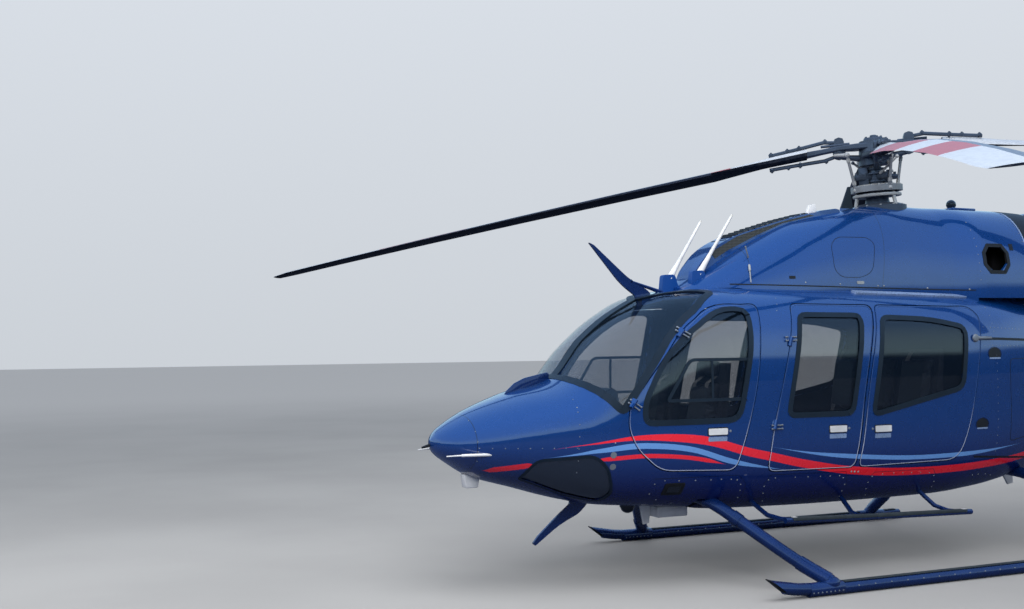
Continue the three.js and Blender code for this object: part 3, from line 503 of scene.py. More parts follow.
makeCamera()
makeRoom()
finishes = {
    "fin": finFinish(),
    "stabiliser": stabiliserFinish(),
    "tailBlade": tailBladeFinish(),
    "antenna": antennaFinish(),
    "slate": plainFinish("slatePaint", (0.035, 0.045, 0.058), 0.42, 0.5),
    "link": plainFinish("linkMetal", (0.30, 0.33, 0.37), 0.38, 0.5),
    "rubber": plainFinish("rubber", (0.014, 0.014, 0.015), 0.75, grain=0.0004, scale=300),
    "seam": plainFinish("seamLine", (0.30, 0.42, 0.66), 0.3, 0.3),
    "screen": plainFinish("darkScreen", (0.008, 0.01, 0.014), 0.12, coat=0.8),
    "leather": plainFinish("seatLeather", (0.020, 0.022, 0.026), 0.5, grain=0.00015, scale=260),
    "belt": plainFinish("beltWebbing", (0.16, 0.165, 0.17), 0.7, grain=0.0002, scale=500),
    "mesh": screenFinish(),
    "plate": plainFinish("platedMetal", (0.46, 0.47, 0.47), 0.42, 0.4),
    "body": bodyFinish(),
    "glass": glassFinish("tintedAcrylic", 0.30),
    "darkGlass": glassFinish("darkAcrylic", 0.88),
    "doorSeamPaintedHighlight": doorSeamFinish(),
    "head": plainFinish("headMetal", (0.075, 0.10, 0.145), 0.36, 0.5),
    "grip": plainFinish("gripStrip", (0.034, 0.044, 0.050), 0.8, grain=0.0004, scale=300),
    "gear": plainFinish("gearPaint", (0.004, 0.024, 0.13), 0.26, 0.4, coat=1.0),
    "black": plainFinish("blackPaint", (0.012, 0.012, 0.014), 0.45, grain=0.0002, scale=400),
    "steel": plainFinish("machinedSteel", (0.34, 0.35, 0.37), 0.4, 0.6, scale=20),
    "white": plainFinish("whitePaint", (0.78, 0.79, 0.8), 0.35, coat=0.4),
    "trim": plainFinish("cabinTrim", (0.018, 0.020, 0.025), 0.8),
    "seal": plainFinish("windowSeal", (0.007, 0.015, 0.027), 0.42),
}
for k in range(4):
    finishes[f"blade{k + 1}"] = bladeFinish(k)
print("materials made")


# The smooth skin

bodySections = [  # x, top, bottom, half width, height of the widest line, roundness above and below it
    (0.00, 1.078, 1.032, 0.030, 1.055, 2.0, 2.0),
    (0.04, 1.132, 0.972, 0.140, 1.050, 2.0, 2.0),
    (0.12, 1.190, 0.912, 0.245, 1.050, 2.0, 2.0),
    (0.30, 1.285, 0.805, 0.385, 1.060, 2.1, 2.1),
    (0.60, 1.395, 0.715, 0.540, 1.100, 2.2, 2.3),
    (0.95, 1.500, 0.615, 0.650, 1.140, 2.3, 2.6),
    (1.20, 1.785, 0.565, 0.705, 1.180, 2.5, 2.8),
    (1.50, 2.005, 0.540, 0.750, 1.220, 3.0, 3.0),
    (1.80, 2.135, 0.515, 0.778, 1.250, 3.6, 3.1),
    (2.20, 2.180, 0.480, 0.790, 1.250, 4.0, 3.2),
    (3.20, 2.180, 0.462, 0.790, 1.250, 4.0, 3.2),
    (4.20, 2.170, 0.470, 0.785, 1.250, 4.0, 3.2),
    (4.70, 2.165, 0.500, 0.740, 1.270, 4.0, 3.0),
    (5.20, 2.160, 0.570, 0.650, 1.320, 3.6, 2.8),
    (5.70, 2.158, 0.700, 0.535, 1.400, 3.2, 2.6),
    (6.10, 2.155, 0.900, 0.440, 1.520, 2.8, 2.4),
    (6.60, 2.150, 1.235, 0.375, 1.720, 2.4, 2.2),
]
cowlFoot = 2.06
cowlSections = [  # x, top, half width at the foot, roundness
    (2.02, 2.186, 0.250, 2.6),
    (2.15, 2.265, 0.330, 2.6),
    (2.45, 2.455, 0.400, 2.5),
    (2.75, 2.605, 0.430, 2.5),
    (3.05, 2.725, 0.450, 2.5),
    (3.60, 2.840, 0.465, 2.5),
    (4.03, 2.903, 0.480, 2.5),
    (4.40, 2.892, 0.520, 2.6),
    (4.70, 2.889, 0.610, 2.8),
    (5.20, 2.884, 0.640, 2.8),
    (5.70, 2.860, 0.600, 2.7),
    (6.10, 2.834, 0.510, 2.5),
    (6.35, 2.772, 0.440, 2.4),
    (6.60, 2.640, 0.385, 2.2),
]
boomSections = [  # the columns of bodySections
    (6.60, 2.640, 1.235, 0.385, 1.90, 2.2, 2.2),
    (6.90, 2.500, 1.375, 0.350, 1.93, 2.2, 2.2),
    (7.36, 2.334, 1.485, 0.310, 1.92, 2.2, 2.2),
    (7.83, 2.252, 1.552, 0.275, 1.91, 2.2, 2.2),
    (9.11, 2.222, 1.703, 0.215, 1.96, 2.2, 2.2),
    (10.23, 2.260, 1.795, 0.165, 2.03, 2.2, 2.2),
    (10.81, 2.290, 1.860, 0.110, 2.08, 2.2, 2.2),
]


def power(value, exponent):
    return math.copysign(abs(value) ** exponent, value)


def edgesOf(ring):
    # the edges at some vertices, each once
    return list(dict.fromkeys(e for v in ring for e in v.link_edges))


class Hull:
    # a run of superellipse sections, smooth along its length; facets says how the CAD's own one is cut
    def __init__(self, sections, sides):
        self.sections = sections
        self.slopes = [self.slopeAt(i) for i in range(len(sections))]
        self.known = {}
        self.facets = self.facetTree(sides)

    def slopeAt(self, i):
        # slopes that keep each column from swinging past its stations
        rows = self.sections
        if i in (0, len(rows) - 1):
            a, b = (rows[0], rows[1]) if i == 0 else (rows[-2], rows[-1])
            return [(q - p) / (b[0] - a[0]) for p, q in zip(a, b)]
        before, here, after = rows[i - 1], rows[i], rows[i + 1]
        slopes = []
        for p, q, r in zip(before, here, after):
            back = (q - p) / (here[0] - before[0])
            on = (r - q) / (after[0] - here[0])
            slopes.append(2 * back * on / (back + on) if back * on > 0 else 0.0)
        return slopes

    def section(self, x):
        key = round(x, 5)
        if key not in self.known:
            rows = self.sections
            x = min(max(x, rows[0][0]), rows[-1][0])
            i = next(k for k in range(1, len(rows)) if x <= rows[k][0] + 1e-9)
            a, b = rows[i - 1], rows[i]
            step = b[0] - a[0]
            t = (x - a[0]) / step
            self.known[key] = [
                p * (1 + 2 * t) * (1 - t) ** 2 + q * t * t * (3 - 2 * t)
                + step * (m * t * (1 - t) ** 2 - n * t * t * (1 - t))
                for p, q, m, n in zip(a, b, self.slopes[i - 1], self.slopes[i])
            ]
        return self.known[key]

    def facetTree(self, sides):
        bm = bmesh.new()
        before = None
        for x, top, bottom, half, waist, upper, lower in self.sections:
            ring = bmesh.ops.create_circle(bm, segments=sides, radius=1)["verts"]
            for v in ring:
                c, s = v.co.normalized().xy
                height = top - waist if s >= 0 else waist - bottom
                exponent = 2 / (upper if s >= 0 else lower)
                v.co = (x, half * power(c, exponent), waist + height * power(s, exponent))
            edges = edgesOf(ring)
            if before:
                bmesh.ops.bridge_loops(bm, edges=before + edges)
            before = edges
        bmesh.ops.triangulate(bm, faces=bm.faces)
        tree = BVHTree.FromBMesh(bm)
        bm.free()
        return tree

    def holds(self, x, margin):
        return self.sections[0][0] - margin < x < self.sections[-1][0] + margin

    def quarter(self, x, z):
        # half width, widest line, height and roundness of the section's part above or below that line
        _, top, bottom, half, waist, upper, lower = self.section(x)
        return half, waist, *((top - waist, upper) if z >= waist else (waist - bottom, lower))

    def fullness(self, x, y, z):
        # 1 on the smooth skin, less inside it
        half, waist, height, exponent = self.quarter(x, z)
        return (abs(y) / half) ** exponent + (abs(z - waist) / height) ** exponent

    def reach(self, p):
        # the smooth skin's distance from the section's middle, along the ray through p, and p's own
        _, waist, _, exponent = self.quarter(p.x, p.z)
        own = math.hypot(p.y, p.z - waist)
        return own * self.fullness(*p) ** (-1 / exponent), own, waist

    def slopeOf(self, p):
        d = 0.002
        spans = (Vector((d, 0, 0)), Vector((0, d, 0)), Vector((0, 0, d)))
        slope = [self.fullness(*(p + span)) - self.fullness(*(p - span)) for span in spans]
        return Vector(slope).normalized()

    def carried(self, p, inset=None):
        # where a point of the faceted skin belongs on the smooth one, or None if it isn't on it
        if not self.holds(p.x, 0.002) or math.hypot(p.y, p.z - self.section(p.x)[4]) < 0.004:
            return None
        smooth, own, waist = self.reach(p)
        ray = Vector((0, p.y, p.z - waist)).normalized()
        x = min(max(p.x, self.sections[0][0] + 1e-4), self.sections[-1][0] - 1e-4)
        hit = self.facets.ray_cast(Vector((x, 0, waist)), ray)
        if hit[0] is None:
            return None
        depth = hit[3] - own
        if inset is not None:
            radius = smooth - inset
        elif abs(depth) < 0.006:
            radius = smooth
        elif -0.04 < depth < 0.03:
            radius = own + smooth - hit[3]
        else:
            return None
        return Vector((p.x, ray.y * radius, waist + ray.z * radius))

    def side(self, x, z, side=-1, lift=0.0):
        # the point of the smooth skin at a length and height, in the part's frame, and its normal
        def across(u, w):
            half, waist, height, exponent = self.quarter(u, w)
            return half * (1 - min(abs(w - waist) / height, 1) ** exponent) ** (1 / exponent)

        y = across(x, z)
        d = 0.004
        along = (across(x + d, z) - across(x - d, z)) / (2 * d)
        up = (across(x, z + d) - across(x, z - d)) / (2 * d)
        normal = Vector((-along, side, -up)).normalized()
        return at(x, side * y, z) + normal * lift, normal


bodyHull = Hull(bodySections, 28)
cowlHull = Hull([(x, top, cowlFoot - 0.2, half, cowlFoot, r, 8.0) for x, top, half, r in cowlSections], 32)
boomHull = Hull(boomSections, 24)
skinStep = 0.06

usualSlots = {
    "body_paint": ("body", "fin", "seam", "doorSeamPaintedHighlight", "white"),
    "black_trim": ("slate", "head", "rubber", "grip", "screen", "mesh", "black", "seal"),
    "bare_metal": ("link", "plate"),
    "cabin_trim": ("leather", "belt", "trim"),
    "gear_paint": ("gear",),
    "tinted_glass": ("glass", "darkGlass"),
}


def publish(bm, name, finish, body="root", slot=None, replaces=(), sharp=35, lining=None):
    # writes a finished piece, in the part's frame
    for edge in bm.edges:
        edge.smooth = edge.calc_face_angle(0) < math.radians(sharp)
    for face in bm.faces:
        face.smooth = True
    mesh = bpy.data.meshes.new(name)
    bm.to_mesh(mesh)
    bm.free()
    mesh.materials.append(finishes[finish])
    if lining:
        mesh.materials.append(finishes[lining])
    piece = placed(name, mesh)
    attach(piece, body)
    slot or next(usual for usual, members in usualSlots.items() if finish in members)
    if replaces:
        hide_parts(*replaces)
    return piece


def thicken(bm, depth):
    # a wall that deep under the sheet, closed along its edges; solidify would throw spikes at its corners
    bm.normal_update()
    below = [(v, v.co - v.normal * depth) for v in bm.verts]
    bmesh.ops.extrude_face_region(bm, geom=bm.faces[:])
    for v, spot in below:
        v.co = spot
    bmesh.ops.recalc_face_normals(bm, faces=bm.faces)
    bm.normal_update()


def mergedCopy(name):
    bm = bmesh.new()
    bm.from_mesh(nodes[name].data)
    bmesh.ops.remove_doubles(bm, verts=bm.verts, dist=1e-5)
    return bm


def cutEvenly(bm, faces, step):
    # cuts the faces along even planes in all three directions
    low = Vector(min(v.co[k] for f in faces for v in f.verts) for k in range(3))
    high = Vector(max(v.co[k] for f in faces for v in f.verts) for k in range(3))
    for face in faces:
        face.material_index = 1  # marks the faces to cut, and their halves keep it
    for k in range(3):
        normal = Vector(1.0 if i == k else 0.0 for i in range(3))
        spot = math.ceil(low[k] / step) * step
        while spot < high[k]:
            marked = [f for f in bm.faces if f.material_index]
            near = [f for f in marked if min(v.co[k] for v in f.verts) < spot < max(v.co[k] for v in f.verts)]
            geometry = list(dict.fromkeys(g for f in near for g in (*f.verts, *f.edges, f)))
            if geometry:
                bmesh.ops.bisect_plane(bm, geom=geometry, plane_co=normal * spot, plane_no=normal, dist=1e-5)
            spot += step
    for face in bm.faces:
        face.material_index = 0


def carry(bm, hulls, inset=None):
    for v in bm.verts:
        for hull in hulls:
            moved = hull.carried(aft(v.co), inset)
            if moved is not None:
                v.co = at(*moved)
                break


def underSkin(face, hull):
    # how deep a face's middle lies under the smooth skin, and how far the face looks outward
    middle = aft(face.calc_center_median())
    smooth, own, waist = hull.reach(middle)
    return smooth - own, face.normal.dot(Vector((0, middle.y, middle.z - waist)).normalized())


def isLining(face):
    # on the cabin's inner face, deeper than the skin
    if not 0.5 < aft(face.calc_center_median()).x < 4.6:
        return False
    depth, outward = underSkin(face, bodyHull)
    return depth > 0.025 and (outward < -0.3 or abs(face.normal.x) > 0.9)


def isOuter(face, hulls):
    for hull in hulls:
        if hull.holds(aft(face.calc_center_median()).x, 0.001):
            depth, outward = underSkin(face, hull)
            if depth < 0.03 and outward > 0.3:
                return True
    return False


def hullNormal(spot, facing, hulls):
    # the smooth skin's own normal for a point on it, or a zero vector where the face turns away
    for hull in hulls:
        if not hull.holds(spot.x, -0.001):
            continue
        smooth, own, _ = hull.reach(spot)
        if abs(smooth - own) > 0.012:
            continue
        normal = hull.slopeOf(spot)
        side = 1 if facing.dot(normal) > 0 else -1
        if facing.dot(normal) * side > 0.9:
            return normal * side
    return Vector((0, 0, 0))


def evenShading(piece, hulls):
    # reflections follow the smooth skin, whatever the mesh's triangles do
    mesh = piece.data
    corners = [(mesh.vertices[v].co, face.normal) for face in mesh.polygons for v in face.vertices]
    mesh.normals_split_custom_set([hullNormal(aft(spot), facing, hulls) for spot, facing in corners])


def wholeFaces(name):
    # a solid's copy with its flat faces undivided
    bm = mergedCopy(name)
    bmesh.ops.dissolve_limit(bm, angle_limit=0.003, verts=bm.verts, edges=bm.edges)
    bm.normal_update()
    return bm


def roundOff(bm, faces, hulls, step=skinStep, inset=None):
    # cuts the faces evenly and moves the mesh to the smooth skin
    cutEvenly(bm, faces, step)
    carry(bm, hulls, inset)
    bmesh.ops.triangulate(bm, faces=[f for f in bm.faces if len(f.verts) > 4])
    bm.normal_update()


def skinPiece(name, hulls, finish="body", body="root"):
    bm = wholeFaces(name)
    roundOff(bm, [f for f in bm.faces if isOuter(f, hulls)], hulls)
    lined = hulls == [bodyHull] and name not in ("nose_cone", "aft_fuselage")
    dark = name in ("inlet_cowl", "exhaust_cowl")
    if lined or dark:
        for face in bm.faces:
            face.material_index = int(isLining(face) if lined else not isOuter(face, hulls))
    lining = "trim" if lined else "black" if dark else None
    evenShading(publish(bm, name + "_skin", finish, body, replaces=(name,), lining=lining), hulls)


frames = {  # width over the glass and over the skin, height above the skin, thickness, screw spacing
    "crew_door_window": (0.034, 0.007, 0.003, 0.006, 0.16),
    "cabin_door_window": (0.034, 0.007, 0.003, 0.006, 0.16),
    "sliding_door_window": (0.034, 0.007, 0.003, 0.006, 0.16),
    "windshield": (0.022, 0.034, 0.004, 0.007, 0.085),
    "chin_window": (0.012, 0.010, 0.002, 0.005, 0.0),
}


def frameOf(sheet, name, body):
    # a flat rubber frame along the window's edge, with its screws
    over, beyond, lift, thickness, spacing = frames[name.rsplit("_", 1)[0]]
    rim = bmesh.new()
    inner, outer = {}, {}
    for v in sheet.verts:
        edges = [e for e in v.link_edges if e.is_boundary]
        if len(edges) != 2:
            continue
        ends = [e.other_vert(v).co - v.co for e in edges]
        tangent = (ends[0].normalized() - ends[1].normalized()).normalized()
        inward = v.normal.cross(tangent).normalized()
        middle = sum((f.calc_center_median() for f in v.link_faces), Vector()) / len(v.link_faces)
        if inward.dot(middle - v.co) < 0:
            inward.negate()
        corner = ends[0].normalized().cross(tangent).length
        stretch = 1 / max(math.sqrt(1 - corner**2), 0.5)
        inner[v] = rim.verts.new(v.co + inward * over * stretch)
        outer[v] = rim.verts.new(v.co - inward * beyond * stretch)
    for e in sheet.edges:
        if e.is_boundary and all(v in inner for v in e.verts):
            a, b = e.verts
            rim.faces.new((inner[a], inner[b], outer[b], outer[a]))
    carry(rim, [bodyHull], -lift)
    bmesh.ops.recalc_face_normals(rim, faces=rim.faces)
    rim.normal_update()
    if rim.faces[0].normal.dot(Vector((0, 1 if name.endswith("starboard") else -1, 0.3))) < 0:
        bmesh.ops.reverse_faces(rim, faces=rim.faces)
    screws = []
    for v in loopOf(sheet, inner):
        spot = inner[v].co * 0.45 + outer[v].co * 0.55
        if spacing and (not screws or (spot - screws[-1][0]).length >= spacing):
            screws.append((spot, inner[v].normal.copy()))
    thicken(rim, thickness)
    publish(rim, name + "_frame", "seal", body)
    if screws:
        studs(name + "_screws", screws, 0.0042, 0.0012, "black", body)


def loopOf(sheet, known):
    # the boundary's vertices in order
    start = next(iter(known))
    order, here, last = [], start, None
    while here is not None and (here is not start or not order):
        order.append(here)
        ahead = [e.other_vert(here) for e in here.link_edges if e.is_boundary]
        step = next((v for v in ahead if v is not last), None)
        here, last = step, here
    return order


def studs(name, spots, radius, height, finish, body="root", slot="black_trim", sides=8):
    # low round heads on a surface, from their places and the surface's normals
    bm = bmesh.new()
    for spot, normal in spots:
        turn = normal.to_track_quat("Z", "Y").to_matrix().to_4x4()
        place = Matrix.Translation(spot + normal * height * 0.4) @ turn
        bmesh.ops.create_cone(bm, cap_ends=True, segments=sides, radius1=radius, radius2=radius * 0.6,
                              depth=height * 1.6, matrix=place)
    return publish(bm, name, finish, body, slot, sharp=20)


def paneOf(name, body="root"):
    # the window's outer face, moved to the smooth skin and given its thickness again
    bm = wholeFaces(name)
    bmesh.ops.delete(bm, geom=[f for f in bm.faces if not isOuter(f, [bodyHull])], context="FACES")
    roundOff(bm, bm.faces[:], [bodyHull], 0.05, 0.007)
    frameOf(bm, name, body)
    thicken(bm, 0.007)
    glass = "darkGlass" if "chin" in name else "glass"
    evenShading(publish(bm, name + "_pane", glass, body, replaces=(name,)), [bodyHull])


bodies = frame["record"]["behaviour"]["bodies"]
bodyOf = {member: word for word, members in bodies.items() for member in members}
sideNames = {-1: "port", 1: "starboard"}

for name in ("nose_cone", "cabin_shell", "aft_fuselage"):
    skinPiece(name, [bodyHull])
for name in ("forward_cowl", "inlet_cowl", "exhaust_cowl"):
    skinPiece(name, [cowlHull, bodyHull])
skinPiece("intake_screen", [cowlHull], "black")
skinPiece("tail_boom", [boomHull])
skinPiece("vertical_fin", [boomHull], "fin")
for word in sideNames.values():
    for door in ("crew_door", "cabin_door", "sliding_door"):
        name = f"{door}_{word}"
        skinPiece(name, [bodyHull], body=bodyOf[name])
        paneOf(f"{door}_window_{word}", bodyOf[name])
    paneOf("windshield_" + word)
    paneOf("chin_window_" + word)
print("skin smoothed")

smoothNodes = {
    "gear": ["skid_port", "skid_starboard", "step_port", "step_starboard",
             "wire_cutter_upper", "wire_cutter_lower"],
    "stabiliser": ["stabiliser_port", "stabiliser_starboard"],
    "antenna": ["roof_antenna_fore", "roof_antenna_aft"],
    "steel": ["rotor_mast", "tail_gearbox", "tail_rotor_shaft"],
    "head": ["rotor_hub", "swashplate_base"],
    "black": ["instrument_panel", "engine_block"],
    **{f"blade{k}": [f"rotor_blade_{k}"] for k in range(1, 5)},
    "tailBlade": ["tail_blades_inner", "tail_blades_outer"],
    "trim": ["cabin_floor"],
}
slotOf = {row["node"]: row["material_slot"] for row in frame["record"]["subparts"]}
for finish, names in smoothNodes.items():
    for name in names:
        publish(mergedCopy(name), name + "_form", finish, bodyOf[name], slotOf[name], (name,))

outlet = {
    "middle": (6.29, 0.42, 2.50),
    "turn": 0.42,
    "radii": (0.202, 0.127),
    "depth": 0.11,
    "thickness": 0.012,
}
for side, word in sideNames.items():
    # each exhaust is sooty inside, and a black wall at its inner end is painted shade for the pipe's dark
    # depth
    name = "exhaust_" + word
    x, y, z = outlet["middle"]
    middle = at(x, side * y, z)
    bm = mergedCopy(name)
    bm.normal_update()
    for face in bm.faces:
        face.material_index = int(face.normal.dot(face.calc_center_median() - middle) < 0)
    publish(bm, name + "_form", "steel", "root", slotOf[name], (name,), lining="black")
    turn = Matrix.Rotation(-side * outlet["turn"], 4, "Z")
    inner = middle + turn @ Vector((0, -side * outlet["depth"], 0))
    flat = Matrix.Rotation(math.pi / 2, 4, "X") @ Matrix.Diagonal((*outlet["radii"], 1, 1))
    bm = bmesh.new()
    bmesh.ops.create_cone(bm, cap_ends=True, segments=32, radius1=1, radius2=1, depth=outlet["thickness"],
                          matrix=Matrix.Translation(inner) @ turn @ flat)
    publish(bm, name + "_wall", "black")
print("smooth copies made")


# Builders for the small pieces, in metres aft, to starboard and up

def soften(bm, edges, width):
    if width:
        bmesh.ops.bevel(bm, geom=edges, offset=width, segments=2, profile=0.5, affect="EDGES", material=-1)


def block(bm, centre, size, bevel=0.0, turn=None):
    place = Matrix.Translation(at(*centre)) @ (turn or Matrix.Identity(4)) @ Matrix.Diagonal((*size, 1))
    made = bmesh.ops.create_cube(bm, size=1, matrix=place)["verts"]
    soften(bm, edgesOf(made), bevel)


def rod(bm, start, end, radius, endRadius=None, sides=16, bevel=0.0):
    a, b = at(*start), at(*end)
    turn = (b - a).to_track_quat("Z", "Y").to_matrix().to_4x4()
    place = Matrix.Translation((a + b) / 2) @ turn
    made = bmesh.ops.create_cone(bm, cap_ends=True, segments=sides, radius1=radius,
                                 radius2=radius if endRadius is None else endRadius,
                                 depth=(b - a).length, matrix=place)["verts"]
    soften(bm, [e for e in edgesOf(made) if e.calc_face_angle(0) > 1.0], bevel)


def ball(bm, centre, radius, stretch=(1, 1, 1)):
    place = Matrix.Translation(at(*centre)) @ Matrix.Diagonal((*stretch, 1))
    bmesh.ops.create_uvsphere(bm, u_segments=20, v_segments=12, radius=radius, matrix=place)


def prism(bm, outline, y0, y1, bevel=0.0):
    # a side-view outline of (x, z) points carried from y0 to y1
    face = bm.faces.new([bm.verts.new(at(x, y0, z)) for x, z in outline])
    grown = bmesh.ops.extrude_face_region(bm, geom=[face])["geom"]
    new = [g for g in grown if isinstance(g, bmesh.types.BMVert)]
    bmesh.ops.translate(bm, verts=new, vec=(0, y1 - y0, 0))
    bmesh.ops.recalc_face_normals(bm, faces=bm.faces)
    soften(bm, list(dict.fromkeys(e for f in bm.faces if abs(f.normal.y) > 0.9 for e in f.edges)), bevel)


def rounded(outline, segments=5):
    # (x, z, radius) corners to points, each corner an arc
    points = []
    for i, (x, z, radius) in enumerate(outline):
        corner = Vector((x, z))
        before = Vector(outline[i - 1][:2]) - corner
        after = Vector(outline[(i + 1) % len(outline)][:2]) - corner
        reach = min(radius, before.length / 2.05, after.length / 2.05)
        start, end = corner + before.normalized() * reach, corner + after.normalized() * reach
        if reach < 0.001:
            points.append((x, z))
            continue
        for k in range(segments + 1):
            t = k / segments
            spot = start * (1 - t) ** 2 + corner * 2 * t * (1 - t) + end * t * t
            points.append(tuple(spot))
    return points


def oblong(x0, z0, x1, z1, radius):
    return [(x0, z0, radius), (x1, z0, radius), (x1, z1, radius), (x0, z1, radius)]


def oval(x, z, wide, high, count):
    angles = [2 * math.pi * i / count for i in range(count)]
    return [(x + wide * math.cos(a), z + high * math.sin(a), 0.0) for a in angles]


def fitting(name, finish, shapes, body="root", slot=None):
    # one piece of several shapes, each given as its builder and what that takes
    bm = bmesh.new()
    for build, *values in shapes:
        build(bm, *values)
    publish(bm, name, finish, body, slot)


def skinPlate(name, outline, finish, door=None, hull=bodyHull, lift=0.002, thickness=0.005, band=None):
    # a plate or, with band, a ring of that width, laid on the skin on both sides
    for side, word in sideNames.items():
        bm = bmesh.new()
        face = bm.faces.new([bm.verts.new(at(x, 0, z)) for x, z in rounded(outline)])
        if band:
            bm.normal_update()
            bmesh.ops.inset_region(bm, faces=[face], thickness=band, use_even_offset=True, use_boundary=True)
            bmesh.ops.delete(bm, geom=[face], context="FACES")
        cutEvenly(bm, bm.faces[:], 0.04)
        for v in bm.verts:
            v.co = hull.side(v.co.x - noseX, v.co.z, side, lift)[0]
        bm.normal_update()
        if sum(f.normal.y for f in bm.faces) * side < 0:
            bmesh.ops.reverse_faces(bm, faces=bm.faces)
        thicken(bm, thickness)
        publish(bm, f"{name}_{word}", finish, bodyOf[f"{door}_{word}"] if door else "root")


def alongSkin(points, spacing, side, hull):
    # places and normals at even spacing along a side-view line
    spots, left = [], 0.0
    for (ax, az), (bx, bz) in zip(points, points[1:]):
        length = math.hypot(bx - ax, bz - az)
        while left <= length:
            t = left / length
            spots.append(hull.side(ax + (bx - ax) * t, az + (bz - az) * t, side))
            left += spacing
        left -= length
    return spots


# Rivets and screws on the skin

rivets = {
    "radius": 0.0045,
    "height": 0.0012,
    "rows": [  # spacing, then the line's points
        (0.078, [(0.243, 1.035), (0.878, 1.031)]),
        (0.085, [(0.893, 1.364), (0.877, 1.031), (0.885, 0.80)]),
        (0.070, [(0.227, 1.22), (0.245, 0.90)]),
        (0.055, [(2.561, 2.085), (2.50, 1.98)]),
        (0.045, [(4.50, 1.86), (4.95, 1.84)]),
        (0.045, [(4.49, 1.71), (4.95, 1.70)]),
        (0.065, [(4.62, 2.02), (4.62, 0.75)]),
        (0.065, [(5.18, 2.05), (5.18, 0.75)]),
    ],
    "belly": [  # bright screws round the belly's panels
        (1.464, 0.750), (1.534, 0.774), (1.643, 0.769), (1.774, 0.765), (1.898, 0.763), (1.982, 0.764),
        (2.064, 0.760), (2.115, 0.753), (2.156, 0.716), (2.172, 0.669), (2.191, 0.607), (1.461, 0.672),
        (1.547, 0.621), (1.701, 0.581), (1.870, 0.537),
        (2.448, 0.562), (2.395, 0.631), (2.373, 0.687), (2.392, 0.737), (2.448, 0.750), (2.628, 0.745),
        (2.745, 0.742), (2.859, 0.739), (2.950, 0.736), (3.040, 0.734), (3.081, 0.715), (3.122, 0.659),
        (3.134, 0.604), (3.165, 0.553),
        (3.482, 0.509), (3.424, 0.548), (3.366, 0.606), (3.342, 0.663), (3.360, 0.711), (3.455, 0.725),
        (3.566, 0.726), (3.655, 0.724), (3.745, 0.721), (3.840, 0.716), (3.931, 0.710), (3.992, 0.682),
        (4.031, 0.629), (4.059, 0.579),
        (4.437, 0.658), (4.509, 0.660), (4.612, 0.655), (4.704, 0.637), (1.13, 1.06), (0.893, 1.31),
    ],
    "bellyBolts": [(3.142, 0.761), (3.173, 0.759), (3.208, 0.757)],
    "cowlScrews": [(2.968, 2.217), (3.291, 2.207), (3.661, 2.197), (3.718, 2.196), (4.149, 2.181),
                   (4.53, 2.172)],
    "cowlRows": [
        (0.07, [(4.625, 2.74), (4.625, 2.20)]), (0.07, [(5.11, 2.72), (5.11, 2.20)]),
        (0.07, [(5.44, 2.72), (5.44, 2.20)]),
    ],
    "boomRows": [
        (0.08, [(6.66, 2.5), (6.66, 1.35)]),
        (0.08, [(7.80, 2.15), (7.80, 1.64)]),
        (0.10, [(6.75, 2.12), (10.1, 2.06)]),
    ],
}

rivetHulls = [("rows", bodyHull, "body"), ("cowlRows", cowlHull, "cowl"), ("boomRows", boomHull, "boom")]
screwHulls = [("belly", bodyHull, 0.0055), ("bellyBolts", bodyHull, 0.009), ("cowlScrews", cowlHull, 0.008)]
for side, word in sideNames.items():
    for key, hull, place in rivetHulls:
        spots = [spot for spacing, line in rivets[key] for spot in alongSkin(line, spacing, side, hull)]
        studs(f"{place}_rivets_{word}", spots, rivets["radius"], rivets["height"], "link", slot="body_paint")
    for key, hull, radius in screwHulls:
        spots = [hull.side(x, z, side) for x, z in rivets[key]]
        studs(f"{key}_screws_{word}", spots, radius, radius * 0.35, "plate", slot="bare_metal")
print("rivets placed")


# Doors: seams, handles, vent window, rails

doorEdges = {  # the shut line of each door a little inside its edge: x, z, radius
    "crew_door": [(1.245, 1.314, 0.03), (1.678, 1.834, 0.12), (1.921, 2.017, 0.18), (2.336, 2.035, 0.06),
                  (2.254, 1.402, 0.2), (2.079, 0.829, 0.07), (1.483, 0.849, 0.09), (1.296, 1.005, 0.12),
                  (1.226, 1.162, 0.12)],
    "cabin_door": [(2.645, 2.037, 0.06), (2.387, 1.080, 0.2), (2.360, 0.805, 0.07), (3.156, 0.797, 0.06),
                   (3.256, 1.502, 0.3), (3.400, 2.029, 0.06)],
    "sliding_door": [(3.443, 2.029, 0.06), (3.295, 1.500, 0.3), (3.196, 0.797, 0.06), (4.186, 0.807, 0.12),
                     (4.323, 1.172, 0.2), (4.482, 1.950, 0.09), (4.407, 2.019, 0.07)],
}
# each door's shut line, pale at its foot as a painted highlight
for door, outline in doorEdges.items():
    skinPlate(door + "_edge", outline, "doorSeamPaintedHighlight", door, band=0.005, lift=0.0012, thickness=0.004)

